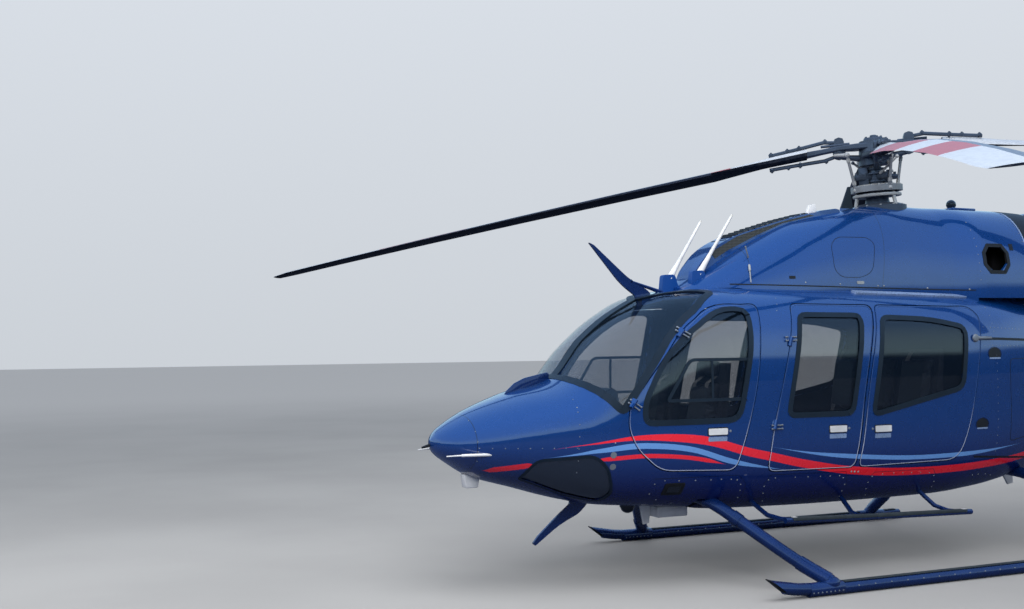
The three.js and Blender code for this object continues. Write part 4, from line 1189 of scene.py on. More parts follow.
handles = [  # door, x and z of the plate's middle, its half width and half height, the lock's place
    ("crew_door", 1.916, 1.116, 0.0775, 0.023, 2.020),
    ("cabin_door", 2.979, 1.097, 0.0775, 0.024, 3.082),
    ("sliding_door", 3.407, 1.083, 0.0765, 0.024, 3.306),
]
for door, x, z, wide, high, lock in handles:
    rim = oblong(x - wide - 0.007, z - high - 0.007, x + wide + 0.007, z + high + 0.007, 0.012)
    skinPlate(door + "_handle_rim", rim, "black", door, lift=0.0015, thickness=0.004)
    plate = oblong(x - wide, z - high, x + wide, z + high, 0.009)
    skinPlate(door + "_handle", plate, "white", door, lift=0.008, thickness=0.008)
    cup = oblong(x - wide, z - high - 0.047, x + wide, z - high - 0.014, 0.008)
    skinPlate(door + "_handle_cup", cup, "seam", door, lift=0.001, thickness=0.003)
    for side, word in sideNames.items():
        spot = bodyHull.side(lock, z, side)
        studs(f"{door}_lock_{word}", [spot], 0.011, 0.004, "link", bodyOf[f"{door}_{word}"], sides=16)

skinPlate("vent_window_frame", [(1.506, 1.333, 0.05), (1.702, 1.645, 0.05), (2.205, 1.645, 0.01),
          (2.165, 1.333, 0.01)], "seal", "crew_door", band=0.022, lift=-0.002, thickness=0.008)
skinPlate("vent_window_bar", oblong(1.872, 1.350, 1.890, 1.630, 0.003), "seal", "crew_door", lift=-0.0025,
          thickness=0.007)

rails = {
    "upper": [(4.44, 1.758), (5.62, 1.726), (5.62, 1.745), (4.44, 1.778)],
    "lower": [(4.36, 0.812), (5.10, 0.762), (5.10, 0.776), (4.36, 0.828)],
    "gutter": [(3.37, 2.124), (4.50, 2.098), (4.50, 2.118), (3.37, 2.146)],
}
for name, outline in rails.items():
    finish, lift, thickness = ("seam", 0.014, 0.018) if name == "gutter" else ("black", 0.002, 0.005)
    skinPlate(name + "_rail", [(*p, 0.005) for p in outline], finish, lift=lift, thickness=thickness)
for side, word in sideNames.items():
    pivot = aft(bodyHull.side(4.378, 1.769, side, 0.008)[0])
    end = aft(bodyHull.side(4.56, 1.767, side, 0.010)[0])
    fitting("sliding_door_arm_" + word, "link", [
        (rod, pivot, pivot + Vector((0, side * 0.014, 0)), 0.034, 0.026, 20, 0.003),
        (rod, pivot + Vector((0.02, 0, 0)), end, 0.016, 0.013, 12, 0.003),
    ])
print("doors dressed")

# Openings and lamps on the sides

portHoles = [(4.597, 1.641, 0.083, 0.058), (4.427, 1.080, 0.078, 0.054)]  # x, z, half width, half height
for k, (x, z, wide, high) in enumerate(portHoles, 1):
    lower = [(px, max(pz, z - high * 0.62), 0.0) for px, pz, _ in oval(x, z, wide, high, 24)]
    skinPlate(f"step_hole_rim_{k}", lower, "gear", band=0.006, thickness=0.004)
    # a pale strip along each hole's lower edge: a painted highlight
    highlightLip = oblong(x - wide * 0.78, z - high * 0.72, x + wide * 0.78, z - high * 0.50, 0.004)
    skinPlate(f"step_hole_lip_{k}", highlightLip, "seam", lift=0.003, thickness=0.004)
    # inside each hole a black plate, painted shade for its dark inside
    inner = [(x + (px - x) * 0.9, z + (pz - z) * 0.88, 0.0) for px, pz, _ in lower]
    skinPlate(f"step_hole_{k}", inner, "black", lift=0.001, thickness=0.003)
sideLight = (1.545, 0.662, 1.70, 0.752)
skinPlate("side_light_frame", oblong(*sideLight, 0.014), "rubber", lift=0.004, thickness=0.008)
skinPlate("side_light_lens", oblong(sideLight[0] + 0.03, sideLight[1] + 0.022, sideLight[2] - 0.03,
          sideLight[3] - 0.022, 0.006), "screen", lift=0.007, thickness=0.005)
for x, z in ((1.121, 0.975), (1.124, 0.891)):
    skinPlate(f"jack_plate_{round(1000 * z)}", oval(x, z, 0.022, 0.022, 16), "link", thickness=0.004)
skinPlate("rear_side_handle", oblong(5.56, 2.03, 6.0, 2.06, 0.012), "white", lift=0.012, thickness=0.012)
baggageDoor = [(4.78, 1.60, 0.05), (4.78, 0.92, 0.05), (5.45, 1.02, 0.05), (5.52, 1.60, 0.05)]
skinPlate("baggage_door_edge", baggageDoor, "black", band=0.005, lift=0.0006, thickness=0.003)
# the louvres are black plates: painted shade for their openings
louvre = [(5.44, 2.83, 0.01), (5.60, 2.83, 0.01), (5.56, 2.69, 0.01), (5.44, 2.69, 0.01)]
skinPlate("cowl_louvre_upper", louvre, "black", hull=cowlHull)
skinPlate("cowl_louvre_lower", oblong(5.44, 2.27, 5.54, 2.42, 0.012), "black", hull=cowlHull)
scoop = oblong(5.74, 2.17, 6.33, 2.32, 0.03)
skinPlate("cowl_scoop", scoop, "black", hull=cowlHull, lift=0.012, thickness=0.014)
inlet = [(4.717, 2.555), (4.872, 2.555), (4.925, 2.482), (4.925, 2.375), (4.872, 2.30), (4.717, 2.30),
         (4.66, 2.375), (4.66, 2.482)]
skinPlate("inlet_rim", [(*p, 0.01) for p in inlet], "black", hull=cowlHull, band=0.030, lift=0.003)
# the small hole and the slot are black plates: painted shade for openings
skinPlate("inlet_small_hole", oblong(4.945, 2.50, 4.985, 2.555, 0.004), "black", hull=cowlHull)
skinPlate("cowl_slot", oblong(2.825, 2.245, 2.88, 2.268, 0.006), "black", hull=cowlHull)
print("openings and lamps placed")

# Nose, belly and roof fittings

deflector = [(0.56, 1.36), (0.60, 1.415), (0.66, 1.468), (0.74, 1.505), (0.837, 1.526), (0.93, 1.545),
             (0.945, 1.53), (0.94, 1.47), (0.80, 1.435)]
fitting("nose_deflector", "gear", [(prism, deflector, -0.007, 0.007, 0.003)], slot="body_paint")

pitots = []
for side in (-1, 1):
    joint = (0.12, side * 0.318, 0.988)
    pitots.append((rod, (0.33, side * 0.375, 0.99), joint, 0.012, 0.010, 12, 0.003))
    pitots.append((rod, joint, (0.015, side * 0.300, 0.985), 0.006, 0.004, 12))
fitting("pitot_rods", "white", pitots, slot="bare_metal")
fitting("nose_probe", "black", [(rod, (0.01, 0, 1.045), (-0.06, 0, 1.026), 0.012, 0.008, 14, 0.002)])

bm = bmesh.new()
block(bm, (0.307, 0, 0.775), (0.125, 0.10, 0.10), 0.012)
for v in bm.verts:
    if v.co.z < 0.76:
        v.co.x += (noseX + 0.307 - v.co.x) * 0.25
publish(bm, "nose_lamp", "white")
fitting("belly_box", "white", [(block, (1.93, -0.02, 0.462), (0.27, 0.20, 0.085), 0.012)])
fitting("belly_fins", "white", [
    (prism, [(1.70, 0.53), (1.80, 0.53), (1.785, 0.37), (1.735, 0.36)], -0.01, 0.01, 0.004),
    (prism, [(5.36, 0.64), (5.52, 0.70), (5.53, 0.47), (5.47, 0.46)], -0.01, 0.01, 0.004),
])

masts = []
for foot, tip in (((1.999, 0.0, 2.255), (2.297, 0.0, 2.720)), ((2.165, -0.16, 2.281), (2.483, -0.16, 2.758))):
    low, high = (Vector(foot).lerp(Vector(tip), share) for share in (0.32, 0.97))
    masts += [(rod, foot, low, 0.028, 0.0155, 16), (rod, low, high, 0.0155, 0.010, 16, 0.002)]
fitting("antenna_masts", "white", masts)
fitting("black_beacons", "screen", [
    (ball, (1.60, 0, 0.505), 0.055, (1, 1, 0.9)),
    (rod, (1.60, 0, 0.55), (1.60, 0, 0.50), 0.065, 0.06, 20, 0.004),
    (ball, (4.883, 0, 2.945), 0.043),
    (rod, (4.883, 0, 2.88), (4.883, 0, 2.925), 0.036, 0.03, 20, 0.003),
])
fin = [(3.31, 2.79), (3.345, 2.885), (3.40, 2.895), (3.425, 2.80)]
fitting("cowl_top_fin", "white", [(prism, fin, -0.02, 0.02, 0.008)])
fitting("boom_whip", "white", [
    (rod, (7.056, 0, 2.42), (7.391, 0, 2.701), 0.007, 0.004, 10),
    (block, (7.06, 0, 2.435), (0.10, 0.04, 0.05), 0.01),
])
fitting("cowl_probes", "link", [
    (rod, (2.545, side * 0.288, 2.40), (2.50, side * 0.31, 2.50), 0.006, 0.006, 10, 0.001) for side in (-1, 1)
])
strakes = [7.72 + 0.39 * k for k in range(5)]
fitting("boom_strakes", "body", [
    (block, (x, side * (boomHull.section(x)[3] + 0.008), 2.108), (0.385, 0.03, 0.012), 0.004)
    for side in (-1, 1) for x in strakes
])
fitting("cowl_top_boxes", "body", [
    (block, (5.94, 0, 2.865), (0.34, 0.22, 0.07), 0.02),
    (block, (4.86, -0.10, 2.886), (0.26, 0.16, 0.022), 0.008),
    (ball, (6.82, -0.24, 2.49), 0.04, (1.2, 1, 0.8)),
])
for side, word in sideNames.items():
    fitting("cutter_strut_" + word, "gear", [
        (rod, (1.655, 0, 2.232), (1.925, side * 0.035, 2.15), 0.009, None, 8),
        (ball, (1.655, 0, 2.232), 0.016),
    ])
print("small fittings placed")


# Hinge pins: a pair on the door and a pair on the frame at each hinge

hinges = {  # x, z, and the pins' lean from level, in radians
    "crew_door": [(1.672, 1.835, -0.60), (1.262, 1.330, -0.63)],
    "cabin_door": [(2.556, 1.776, 0.0), (2.404, 1.131, 0.0)],
}
pin = {"apart": 0.013, "radius": 0.0052, "doorLength": 0.058, "frameLength": 0.030, "lift": 0.012}


def hingePins(spots, side, sign):
    # a hinge's pins, reaching onto the door or, with sign -1, onto the frame
    bm = bmesh.new()
    for x, z, lean in spots:
        dx, dz = math.cos(lean), math.sin(lean)
        for across in (-pin["apart"], pin["apart"]):
            ends = []
            for reach in (0.012, pin["doorLength"] if sign > 0 else pin["frameLength"]):
                u, w = x + sign * reach * dx - across * dz, z + sign * reach * dz + across * dx
                ends.append(aft(bodyHull.side(u, w, side, pin["lift"])[0]))
            rod(bm, *ends, pin["radius"], sides=10, bevel=0.0015)
            ball(bm, ends[1], pin["radius"] * 1.5)
    return bm


for door, spots in hinges.items():
    for side, word in sideNames.items():
        publish(hingePins(spots, side, 1), f"{door}_hinge_pins_door_{word}", "link", bodyOf[f"{door}_{word}"])
        publish(hingePins(spots, side, -1), f"{door}_hinge_pins_frame_{word}", "link")
print("hinges placed")


# Cowl details

cowlHatch = [(3.255, 2.524, 0.06), (3.335, 2.592, 0.08), (3.621, 2.593, 0.08), (3.680, 2.545, 0.06),
             (3.622, 2.313, 0.06), (3.511, 2.259, 0.06), (3.311, 2.260, 0.06), (3.247, 2.322, 0.06)]
skinPlate("cowl_hatch_edge", cowlHatch, "black", hull=cowlHull, band=0.004, lift=0.0008, thickness=0.003)
skinPlate("cowl_latch", oblong(3.455, 2.209, 3.522, 2.233, 0.006), "plate", hull=cowlHull, lift=0.004)
footLine = [(2.32, 2.196, 0.001), (4.58, 2.160, 0.001), (4.58, 2.169, 0.001), (2.32, 2.205, 0.001)]
skinPlate("cowl_foot_line", footLine, "black", hull=cowlHull, lift=0.0015, thickness=0.004)
# the fuel filler's recess is a black plate: painted shade
skinPlate("fuel_recess_shade", [(5.09, 1.37, 0.05), (5.29, 1.37, 0.05), (5.20, 1.09, 0.03)], "black", lift=0.0015)
for side, word in sideNames.items():
    line = [(2.490, 2.215, 0.0), (2.492, 2.262, 0.005), (2.498, 2.300, 0.010), (2.508, 2.345, 0.015)]
    spots = [aft(cowlHull.side(x, z, side, lift)[0]) for x, z, lift in line]
    shapes = [(rod, a, b, 0.005, None, 8) for a, b in zip(spots, spots[1:])]
    shapes += [(ball, spot, 0.0052) for spot in spots[1:]]
    fitting("cowl_probe_" + word, "plate", [*shapes, (rod, spots[2], spots[3], 0.010, 0.009, 10, 0.002)])

ridge = {  # the ridge's own top line and the cowl's beside it, metres aft and height
    "top": [(2.300, 2.472), (2.550, 2.606), (2.730, 2.662), (2.990, 2.738), (3.260, 2.802)],
    "foot": [(3.30, 2.778), (2.990, 2.706), (2.730, 2.600), (2.450, 2.470), (2.34, 2.405)],
    "side": 0.1262,
}
bm = bmesh.new()
for side in (-1, 1):
    outline = [(x, z - 0.012) for x, z in ridge["top"]] + [(x, z + 0.006) for x, z in ridge["foot"]]
    prism(bm, outline, side * (ridge["side"] - 0.004), side * (ridge["side"] + 0.002))
for (ax, az), (bx, bz) in zip(ridge["top"][1:], ridge["top"][2:]):
    slope = Matrix.Rotation(-math.atan2(bz - az, bx - ax), 4, "Y")
    size = (math.hypot(bx - ax, bz - az) - 0.006, 0.20, 0.008)
    block(bm, ((ax + bx) / 2, 0, (az + bz) / 2 + 0.001), size, 0, slope)
publish(bm, "intake_ridge_mesh", "mesh")
bm = bmesh.new()
for k in range(15):
    x = 2.46 + k * 0.055
    i = next(j for j in range(1, 5) if x <= ridge["top"][j][0])
    (ax, az), (bx, bz) = ridge["top"][i - 1], ridge["top"][i]
    z = az + (bz - az) * (x - ax) / (bx - ax)
    block(bm, (x, 0, z + 0.006), (0.010, 0.21, 0.012), 0.003)
publish(bm, "intake_ridge_ribs", "slate")
bm = bmesh.new()
for x in (5.128, 5.428):
    for side in (-1, 1):
        line = [aft(cowlHull.side(x, 2.12 + 0.03 * k, side, 0.002)[0]) for k in range(25)]
        for a, b in zip(line, line[1:]):
            rod(bm, a, b, 0.006, sides=6)
publish(bm, "intake_screen_rims", "seam")
print("cowl dressed")

# Rotor head

def headPoint(k, radius, across, lift, turn=0.0):
    # a place in the tilted rotor's frame, k arms round from the first
    angle = rotor["firstBlade"] + k * math.pi / 2 + turn
    u = radius * math.cos(angle) - across * math.sin(angle)
    v = radius * math.sin(angle) + across * math.cos(angle)
    c, s = math.cos(rotor["tilt"]), math.sin(rotor["tilt"])
    hubX, hubY, hubZ = rotor["hub"]
    return hubX + u * c - lift * s, hubY + v, hubZ + u * s + lift * c


def armHeight(k, radius):
    slope, bend = rotor["sags"][k]
    reach = max(radius - rotor["flexRadius"], 0)
    return rotor["planes"][k] - slope * reach - bend * reach * reach


def headRod(bm, k, start, end, *sizes, turn=0.0):
    # a rod between two such places
    rod(bm, headPoint(k, *start, turn), headPoint(k, *end, turn), *sizes)


headRider = bodyOf["rotor_hub"]
# radius and the beam's height over the arm; then a bolt's two heights over the beam and the rod's sizes
beamBolts = [(0.40, 0.0775), (0.62, 0.069), (0.72, 0.065), (0.86, 0.061)]
boltSteps = [(-0.004, 0.020, 0.017, 0.017, 10, 0.002), (0.018, 0.028, 0.009, 0.009, 6)]
bm = bmesh.new()
for k in range(4):
    for radius, lift in beamBolts:
        for sign in (1, -1):
            for low, high, *sizes in boltSteps:
                foot, top = (armHeight(k, radius) + sign * (lift + step) for step in (low, high))
                headRod(bm, k, (radius, 0, foot), (radius, 0, top), *sizes)
publish(bm, "rotor_beam_bolts", "head", headRider)

bm = bmesh.new()
for k in range(4):
    for radius in (0.62, 0.86):
        z = armHeight(k, radius)
        for sign in (1, -1):
            foot = (radius, 0, z + sign * 0.062)
            for across in (-0.035, 0.035):
                headRod(bm, k, foot, (radius, across, z + sign * 0.058), 0.014, 0.010, 8)
    z = armHeight(k, 0.29)
    headRod(bm, k, (0.288, -0.038, z - 0.03), (0.288, 0.038, z - 0.03), 0.052, 0.052, 20, 0.008)
    headRod(bm, k, (0.288, -0.045, z - 0.03), (0.288, 0.045, z - 0.03), 0.022, 0.022, 12, 0.003)
    headRod(bm, k, (0.10, 0, z - 0.10), (0.27, 0, z - 0.075), 0.030, 0.020, 12, 0.004)
    headRod(bm, k, (0.20, 0.03, z + 0.03), (0.44, 0.02, armHeight(k, 0.44) + 0.045), 0.014, 0.012, 8)
publish(bm, "rotor_dampers", "head", headRider)

linkAngle = 0.45  # of a pitch link round from its arm
top, foot = (0.262, 0, -0.030), (0.198, 0, -0.335)
bm = bmesh.new()
for k in range(4):
    for spot in (top, foot):
        ball(bm, headPoint(k, *spot, linkAngle), 0.024)
    headRod(bm, k, (0.256, 0, -0.062), (0.249, 0, -0.092), 0.018, 0.018, 6, turn=linkAngle)
    headRod(bm, k, (0.215, 0, -0.255), (0.208, 0, -0.285), 0.018, 0.018, 6, turn=linkAngle)
    horn = headPoint(k, 0.335, 0.045, armHeight(k, 0.335) - 0.055)
    rod(bm, headPoint(k, *top, linkAngle), horn, 0.019, 0.015, 10, 0.003)
    rod(bm, headPoint(k, *top, linkAngle + 0.09), headPoint(k, *top, linkAngle - 0.09), 0.010, 0.010, 8)
publish(bm, "rotor_link_ends", "plate", headRider)

star = {
    "arms": [  # start, end, radii, sides, bevel
        ((0.04, 0, -0.225), (0.20, 0, -0.225), 0.034, 0.024, 8, 0.004),
        ((0.185, 0, -0.212), (0.185, 0, -0.185), 0.013, 0.013, 6),
        ((0.11, 0.02, -0.212), (0.11, 0.02, -0.190), 0.011, 0.011, 6),
    ],
    "rings": [(-0.305, -0.15, 0.062), (-0.205, -0.19, 0.088), (-0.27, -0.255, 0.078), (-0.165, -0.15, 0.078)],
}
bm = bmesh.new()
for k in range(4):
    for start, end, *sizes in star["arms"]:
        headRod(bm, k, start, end, *sizes, turn=linkAngle)
for low, high, radius in star["rings"]:
    headRod(bm, 0, (0, 0, low), (0, 0, high), radius, radius, 24, 0.003)
publish(bm, "rotor_driver_star", "head", headRider)

bm = bmesh.new()
headRod(bm, 0, (0.10, 0.018, -0.292), (0.10, 0.018, -0.14), 0.058, 0.052, 4, 0.006)
headRod(bm, 2, (0.10, 0.018, -0.292), (0.10, 0.018, -0.24), 0.05, 0.045, 4, 0.006)
publish(bm, "rotor_shroud", "head", headRider)

scissors = [((0.10, -0.045, -0.20), (0.215, 0.035, -0.075)), ((0.215, -0.045, -0.20), (0.10, 0.035, -0.075))]
bm = bmesh.new()
for turn in (-0.85, -0.85 + math.pi):
    for ends in scissors:
        headRod(bm, 2, *ends, 0.012, 0.010, 8, 0.002, turn=turn)
        for spot in ends:
            ball(bm, headPoint(2, *spot, turn), 0.016)
headRod(bm, 0, (0, 0, -0.306), (0, 0, -0.292), 0.205, 0.16, 40, 0.002)
for k in range(20):
    headRod(bm, 0, (0.198, 0, -0.307), (0.198, 0, -0.296), 0.007, 0.006, 6, turn=k * math.pi / 10)
publish(bm, "rotor_swash_plate", "plate", headRider)

bm = bmesh.new()
headRod(bm, 0, (0, 0, 0.083), (0, 0, 0.112), 0.088, 0.078, 28, 0.006)
headRod(bm, 0, (0, 0, 0.110), (0, 0, 0.135), 0.030, 0.026, 8, 0.003)
for k in range(8):
    headRod(bm, 0, (0.066, 0, 0.110), (0.066, 0, 0.122), 0.010, 0.009, 6, turn=(k + 0.5) * math.pi / 4)
publish(bm, "rotor_cap", "head", headRider)

bm = bmesh.new()
headRod(bm, 0, (0, 0, -0.398), (0, 0, -0.374), 0.200, 0.200, 36, 0.003)
for angle in (0.3, 2.3, 4.4):
    headRod(bm, 0, (0.175, 0, -0.385), (0.205, 0, -0.52), 0.016, 0.016, 10, turn=angle)
    ball(bm, headPoint(0, 0.175, 0, -0.385, angle), 0.024)
for k in range(12):
    headRod(bm, 0, (0.215, 0, -0.482), (0.215, 0, -0.470), 0.009, 0.008, 6, turn=k * math.pi / 6)
publish(bm, "swash_fixed_ring", "plate")
print("rotor head dressed")


# Tail fittings

bm = bmesh.new()
hubX, hubY, hubZ = tail["hub"]
rod(bm, (hubX, hubY - 0.075, hubZ), (hubX, hubY - 0.115, hubZ), 0.040, 0.026, 16, 0.004)
for k in range(4):
    angle = k * math.pi / 2 + tail["linkTurn"]
    foot = (hubX + 0.055 * math.cos(angle), hubY + 0.02, hubZ + 0.055 * math.sin(angle))
    end = (hubX + 0.115 * math.cos(angle + 0.5), hubY - 0.015, hubZ + 0.115 * math.sin(angle + 0.5))
    rod(bm, foot, end, 0.009, sides=8)
    ball(bm, foot, 0.013)
    ball(bm, end, 0.014)
publish(bm, "tail_hub_links", "link", bodyOf["tail_blades_outer"])
print("tail dressed")

# Landing gear

tubes = {  # points along each cross tube to starboard from the middle; the port half mirrors them
    "front": [(1.955, 0, 0.612), (1.962, 0.42, 0.604), (2.010, 0.60, 0.560), (2.120, 0.79, 0.440),
              (2.330, 1.110, 0.218), (2.478, 1.315, 0.092)],
    "rear": [(5.112, 0, 0.646), (5.115, 0.38, 0.640), (5.122, 0.60, 0.606), (5.105, 0.80, 0.500),
             (5.060, 1.140, 0.250), (5.030, 1.315, 0.092)],
}


def smoothLine(points, steps=8):
    # more points along an even curve through the given ones
    line = [Vector(q) for q in points]
    found = []
    for i in range(len(line) - 1):
        before, a, b, after = line[max(i - 1, 0)], line[i], line[i + 1], line[min(i + 2, len(line) - 1)]
        for k in range(steps):
            t = k / steps
            found.append(0.5 * (2 * a + (b - before) * t + (2 * before - 5 * a + 4 * b - after) * t * t
                                + (3 * a - before - 3 * b + after) * t ** 3))
    return found + [line[-1]]


def pipe(bm, line, radius, sides=24):
    # a round tube along a line of points in the part's frame, with flat ends
    before = None
    for i, q in enumerate(line):
        way = (line[min(i + 1, len(line) - 1)] - line[max(i - 1, 0)]).normalized()
        turn = Matrix.Translation(q) @ way.to_track_quat("Z", "X").to_matrix().to_4x4()
        ring = bmesh.ops.create_circle(bm, cap_ends=i in (0, len(line) - 1), segments=sides, radius=radius,
                                       matrix=turn)["verts"]
        edges = edgesOf(ring)
        if before:
            bmesh.ops.bridge_loops(bm, edges=before + edges)
        before = edges
    bmesh.ops.recalc_face_normals(bm, faces=bm.faces)


def pointAt(line, reach):
    # where a line gets that far across
    for a, b in zip(line, line[1:]):
        if abs(a.y) <= reach <= abs(b.y):
            return a.lerp(b, (reach - abs(a.y)) / (abs(b.y) - abs(a.y)))
    return line[-1]


for place, points in tubes.items():
    half = [at(*q) for q in smoothLine(points)]
    port = [Vector((q.x, -q.y, q.z)) for q in half]
    bm = bmesh.new()
    pipe(bm, [*reversed(port[1:]), *half], 0.046)
    publish(bm, f"cross_tube_{place}_form", "gear", replaces=(f"cross_tube_{place}",))
    for word, line in (("port", port), ("starboard", half)):
        for kind, low, high, radius in (("sleeve", 1.13, 1.30, 0.0525), ("collar", 0.715, 0.765, 0.052)):
            between = [q for q in line if low < abs(q.y) < high]
            bm = bmesh.new()
            pipe(bm, [pointAt(line, low), *between, pointAt(line, high)], radius)
            publish(bm, f"tube_{kind}_{place}_{word}", "gear")

gear = {
    "saddles": [(2.272, 2.562), (4.885, 5.180)],
    "elbows": [(2.478, 0.084), (5.030, 0.084)],
    "track": 1.315,
    "radius": 0.0485,
    "height": 0.0487,
    "tubeHeight": 0.0437,
    "boltLean": -0.30,
    "strip": (2.575, 5.33),
}
for side, word in sideNames.items():
    y, z = side * gear["track"], gear["height"]
    shapes = [(rod, (x0, y, z), (x1, y, z), gear["radius"], None, 24, 0.003) for x0, x1 in gear["saddles"]]
    shapes += [(ball, (x, y, high), 0.0525, (1.25, 1.0, 0.86)) for x, high in gear["elbows"]]
    fitting("skid_saddles_" + word, "gear", shapes)
    shoe = [(1.950, 0.1505), (2.072, 0.059), (2.068, 0.053), (1.946, 0.1445)]
    fitting("skid_shoe_" + word, "rubber", [(prism, shoe, y - 0.030, y + 0.030, 0.002)])
    spots = []
    for x0, x1 in gear["saddles"]:
        for k in range(8):
            x = x0 + 0.02 + (x1 - x0 - 0.04) * k / 7
            for flip in (-1, 1):
                way = Vector((0, -flip * math.cos(gear["boltLean"]), math.sin(gear["boltLean"])))
                spots.append((at(x, y, z) + way * gear["radius"], way))
    for k in range(18):
        spots.append((at(2.68 + 0.145 * k, y - 0.042, gear["tubeHeight"] + 0.012), Vector((0, -0.96, 0.28))))
    studs("skid_bolts_" + word, spots, 0.006, 0.003, "link", slot="gear_paint")
    x0, x1 = gear["strip"]
    fitting("skid_grip_" + word, "grip", [
        (block, ((x0 + x1) / 2, y, 0.0868), (x1 - x0, 0.046, 0.007), 0.002),
        (block, ((x0 + 5.36) / 2, y, 0.004), (5.36 - x0, 0.040, 0.007), 0.002),
    ])

grip = {"line": [(2.40, -0.983, 0.4745), (3.20, -0.925, 0.440), (4.15, -0.854, 0.4065)], "height": 0.0205}
for side, word in sideNames.items():
    bm, ends = bmesh.new(), bmesh.new()
    line = [Vector((x, -side * y, z)) for x, y, z in grip["line"]]
    for a, b in zip(line, line[1:]):
        way = (b - a).normalized()
        lean = Matrix.Rotation(math.atan2(way.y, way.x), 4, "Z") @ Matrix.Rotation(-math.asin(way.z), 4, "Y")
        middle = (a + b) / 2 + Vector((0, 0, grip["height"] - 0.010))
        block(bm, middle, ((b - a).length, 0.046, 0.027), 0.007, lean)
        end, inward = (a, way) if a is line[0] else (b, -way)
        mark = end + inward * 0.02 + Vector((0, 0, grip["height"] + 0.003))
        block(ends, mark, (0.035, 0.030, 0.006), 0.002, lean)
    publish(bm, f"step_grip_{word}", "grip")
    publish(ends, f"step_end_marks_{word}", "white", slot="gear_paint")
print("landing gear dressed")


# Cabin: seats with their belts, panel, controls

def ribbon(bm, line, y0, y1, thickness):
    # a flat strap along (x, z) points, as wide as from y0 to y1
    ahead = [Vector(q) for q in line]
    lifted = []
    for i, q in enumerate(ahead):
        way = (ahead[min(i + 1, len(ahead) - 1)] - ahead[max(i - 1, 0)]).normalized()
        lifted.append(q + Vector((way.y, -way.x)) * thickness)
    prism(bm, [tuple(q) for q in ahead] + [tuple(q) for q in reversed(lifted)], y0, y1)


padding = {"voxel": 0.006, "pressure": 4.0, "frames": 20}


def padOf(name, centre, size, lean=0.0, bevel=0.035):
    # a cushion: a soft block blown up by cloth simulation
    bm = bmesh.new()
    block(bm, centre, size, bevel, Matrix.Rotation(lean, 4, "Y"))
    piece = publish(bm, name, "leather", sharp=180)
    return piece


def swell(pads):
    # pads that differ are blown up together, each moving no further than its own cap
    scene = bpy.context.scene
    starts = []
    for piece, _ in pads:
        remesh = piece.modifiers.new("remesh", "REMESH")
        remesh.mode, remesh.voxel_size, remesh.use_smooth_shade = "VOXEL", padding["voxel"], True
        fine = bpy.data.meshes.new_from_object(piece.evaluated_get(bpy.context.evaluated_depsgraph_get()))
        piece.modifiers.remove(remesh)
        finish = piece.data.materials[0]
        piece.data = fine
        if not fine.materials:
            fine.materials.append(finish)
        starts.append([v.co.copy() for v in fine.vertices])
    for piece, _ in pads:
        cloth = piece.modifiers.new("swell", "CLOTH")
        cloth.settings.use_pressure = True
        cloth.settings.uniform_pressure_force = padding["pressure"]
        cloth.settings.effector_weights.gravity = 0
        cloth.settings.quality = 4
    for frameNumber in range(1, padding["frames"] + 1):
        scene.frame_set(frameNumber)
    graph = bpy.context.evaluated_depsgraph_get()
    blown = [bpy.data.meshes.new_from_object(piece.evaluated_get(graph)) for piece, _ in pads]
    for (piece, cap), mesh, before in zip(pads, blown, starts):
        piece.modifiers.clear()
        for v, start in zip(mesh.vertices, before):
            move = v.co - start
            if move.length > cap:
                v.co = start + move.normalized() * cap
        piece.data = mesh
    scene.frame_set(1)


def copyAcross(source, piece, shift):
    # the same cushion on another seat
    mesh = source.data.copy()
    mesh.transform(Matrix.Translation((0, shift, 0)))
    piece.data = mesh


seats = {  # each seat's middle across the cabin
    "crew": (-0.35, 0.35),
    "rear": (-0.427, 0.0, 0.427),
}
crewShell = [(1.575, 0.80), (1.575, 0.955), (2.03, 0.935), (2.15, 1.60), (2.19, 1.60), (2.12, 0.80)]
rearShell = [(3.575, 0.80), (3.575, 1.00), (4.03, 0.99), (4.14, 1.68), (4.18, 1.68), (4.14, 0.80)]
crewBelt = [(2.135, 1.50), (2.055, 1.45), (2.005, 1.20), (1.985, 1.10), (1.92, 1.068)]
for word, y in zip(sideNames.values(), seats["crew"]):
    bm = bmesh.new()
    prism(bm, crewShell, y - 0.21, y + 0.21, 0.012)
    publish(bm, f"crew_seat_shell_{word}", "trim", replaces=(f"crew_seat_{word}",))
    padOf(f"crew_seat_cushion_{word}", (1.79, y, 1.005), (0.39, 0.38, 0.075), 0.05)
    padOf(f"crew_seat_back_{word}", (2.068, y, 1.265), (0.065, 0.36, 0.40), 0.178)
    padOf(f"crew_seat_headrest_{word}", (2.118, y, 1.560), (0.055, 0.25, 0.125), 0.178, 0.025)
    bm = bmesh.new()
    for across in (-0.085, 0.085):
        ribbon(bm, crewBelt, y + across - 0.023, y + across + 0.023, 0.004)
    ribbon(bm, [(1.92, 1.076), (1.86, 1.074)], y - 0.20, y + 0.20, 0.004)
    block(bm, (1.89, y, 1.085), (0.06, 0.055, 0.018), 0.004)
    publish(bm, f"crew_belts_{word}", "belt")
bm = bmesh.new()
prism(bm, rearShell, -0.63, 0.63, 0.012)
publish(bm, "rear_seat_shell", "trim", replaces=("rear_seats",))
for k, y in enumerate(seats["rear"]):
    padOf(f"rear_seat_cushion_{k + 1}", (3.79, y, 1.05), (0.37, 0.37, 0.075), 0.02)
    padOf(f"rear_seat_back_{k + 1}", (4.058, y, 1.375), (0.065, 0.36, 0.50), 0.165)
    bm = bmesh.new()
    ribbon(bm, [(4.10, 1.66), (4.055, 1.60), (3.985, 1.22), (3.955, 1.14)], y + 0.06, y + 0.105, 0.004)
    ribbon(bm, [(3.93, 1.118), (3.87, 1.116)], y - 0.19, y + 0.19, 0.004)
    publish(bm, f"rear_belt_{k + 1}", "belt")

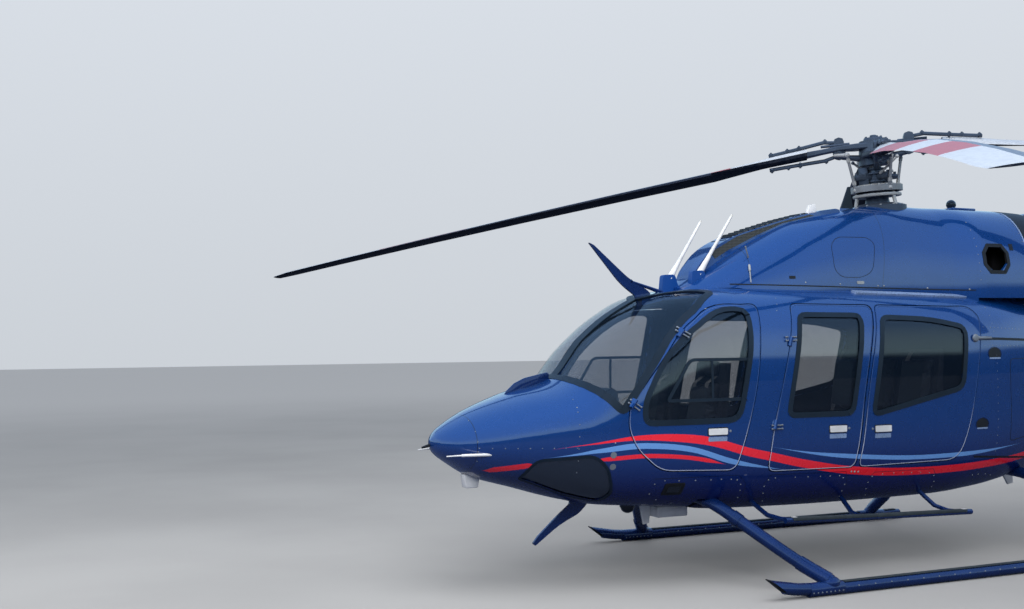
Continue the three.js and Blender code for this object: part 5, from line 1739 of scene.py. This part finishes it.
pads = [  # name, row, how far the cloth may move
    ("crew_seat_cushion", "crew", 0.024),
    ("crew_seat_back", "crew", 0.024),
    ("crew_seat_headrest", "crew", 0.010),
    ("rear_seat_cushion", "rear", 0.024),
    ("rear_seat_back", "rear", 0.024),
]
padEnds = {"crew": ("port", "starboard"), "rear": (1, 2, 3)}
swell([(bpy.data.objects[f"{name}_{padEnds[row][0]}"], cap) for name, row, cap in pads])
for name, row, _ in pads:
    first, *others = (bpy.data.objects[f"{name}_{end}"] for end in padEnds[row])
    for other, y in zip(others, seats[row][1:]):
        copyAcross(first, other, y - seats[row][0])
print("seats made")

bm, lit = bmesh.new(), bmesh.new()
lean = Matrix.Rotation(0.178, 4, "Y")
for y in (-0.33, -0.11, 0.11, 0.33):
    block(bm, (1.286, y, 1.268), (0.012, 0.20, 0.19), 0.004, lean)
    block(lit, (1.293, y, 1.270), (0.006, 0.165, 0.145), 0.001, lean)
publish(bm, "panel_bezels", "slate")
publish(lit, "panel_screens", "screen")
bm = bmesh.new()
for side in (-1, 1):
    y = 0.35 * side
    line = [(1.52, y, 0.79), (1.50, y, 0.92), (1.535, y, 1.03), (1.53, y, 1.10)]
    for a, b in zip(line, line[1:]):
        rod(bm, a, b, 0.013, sides=10)
        ball(bm, b, 0.0135)
    rod(bm, (1.53, y, 1.09), (1.515, y, 1.20), 0.019, 0.022, 12, 0.004)
    rod(bm, (1.95, y - 0.245, 0.88), (1.66, y - 0.245, 1.06), 0.014, 0.014, 10, 0.003)
    rod(bm, (1.66, y - 0.245, 1.06), (1.59, y - 0.245, 1.105), 0.021, 0.023, 12, 0.004)
    for across in (-0.09, 0.09):
        block(bm, (1.33, y + across, 0.94), (0.02, 0.08, 0.10), 0.006, Matrix.Rotation(-0.5, 4, "Y"))
        rod(bm, (1.335, y + across, 0.90), (1.40, y + across, 0.785), 0.011, 0.011, 10)
publish(bm, "pilot_controls", "black")
print("cabin furnished")

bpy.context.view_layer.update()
shown = bpy.context.scene.view_settings
shown.view_transform = "Standard"
shown.look = "None"
shown.exposure = room["exposure"]
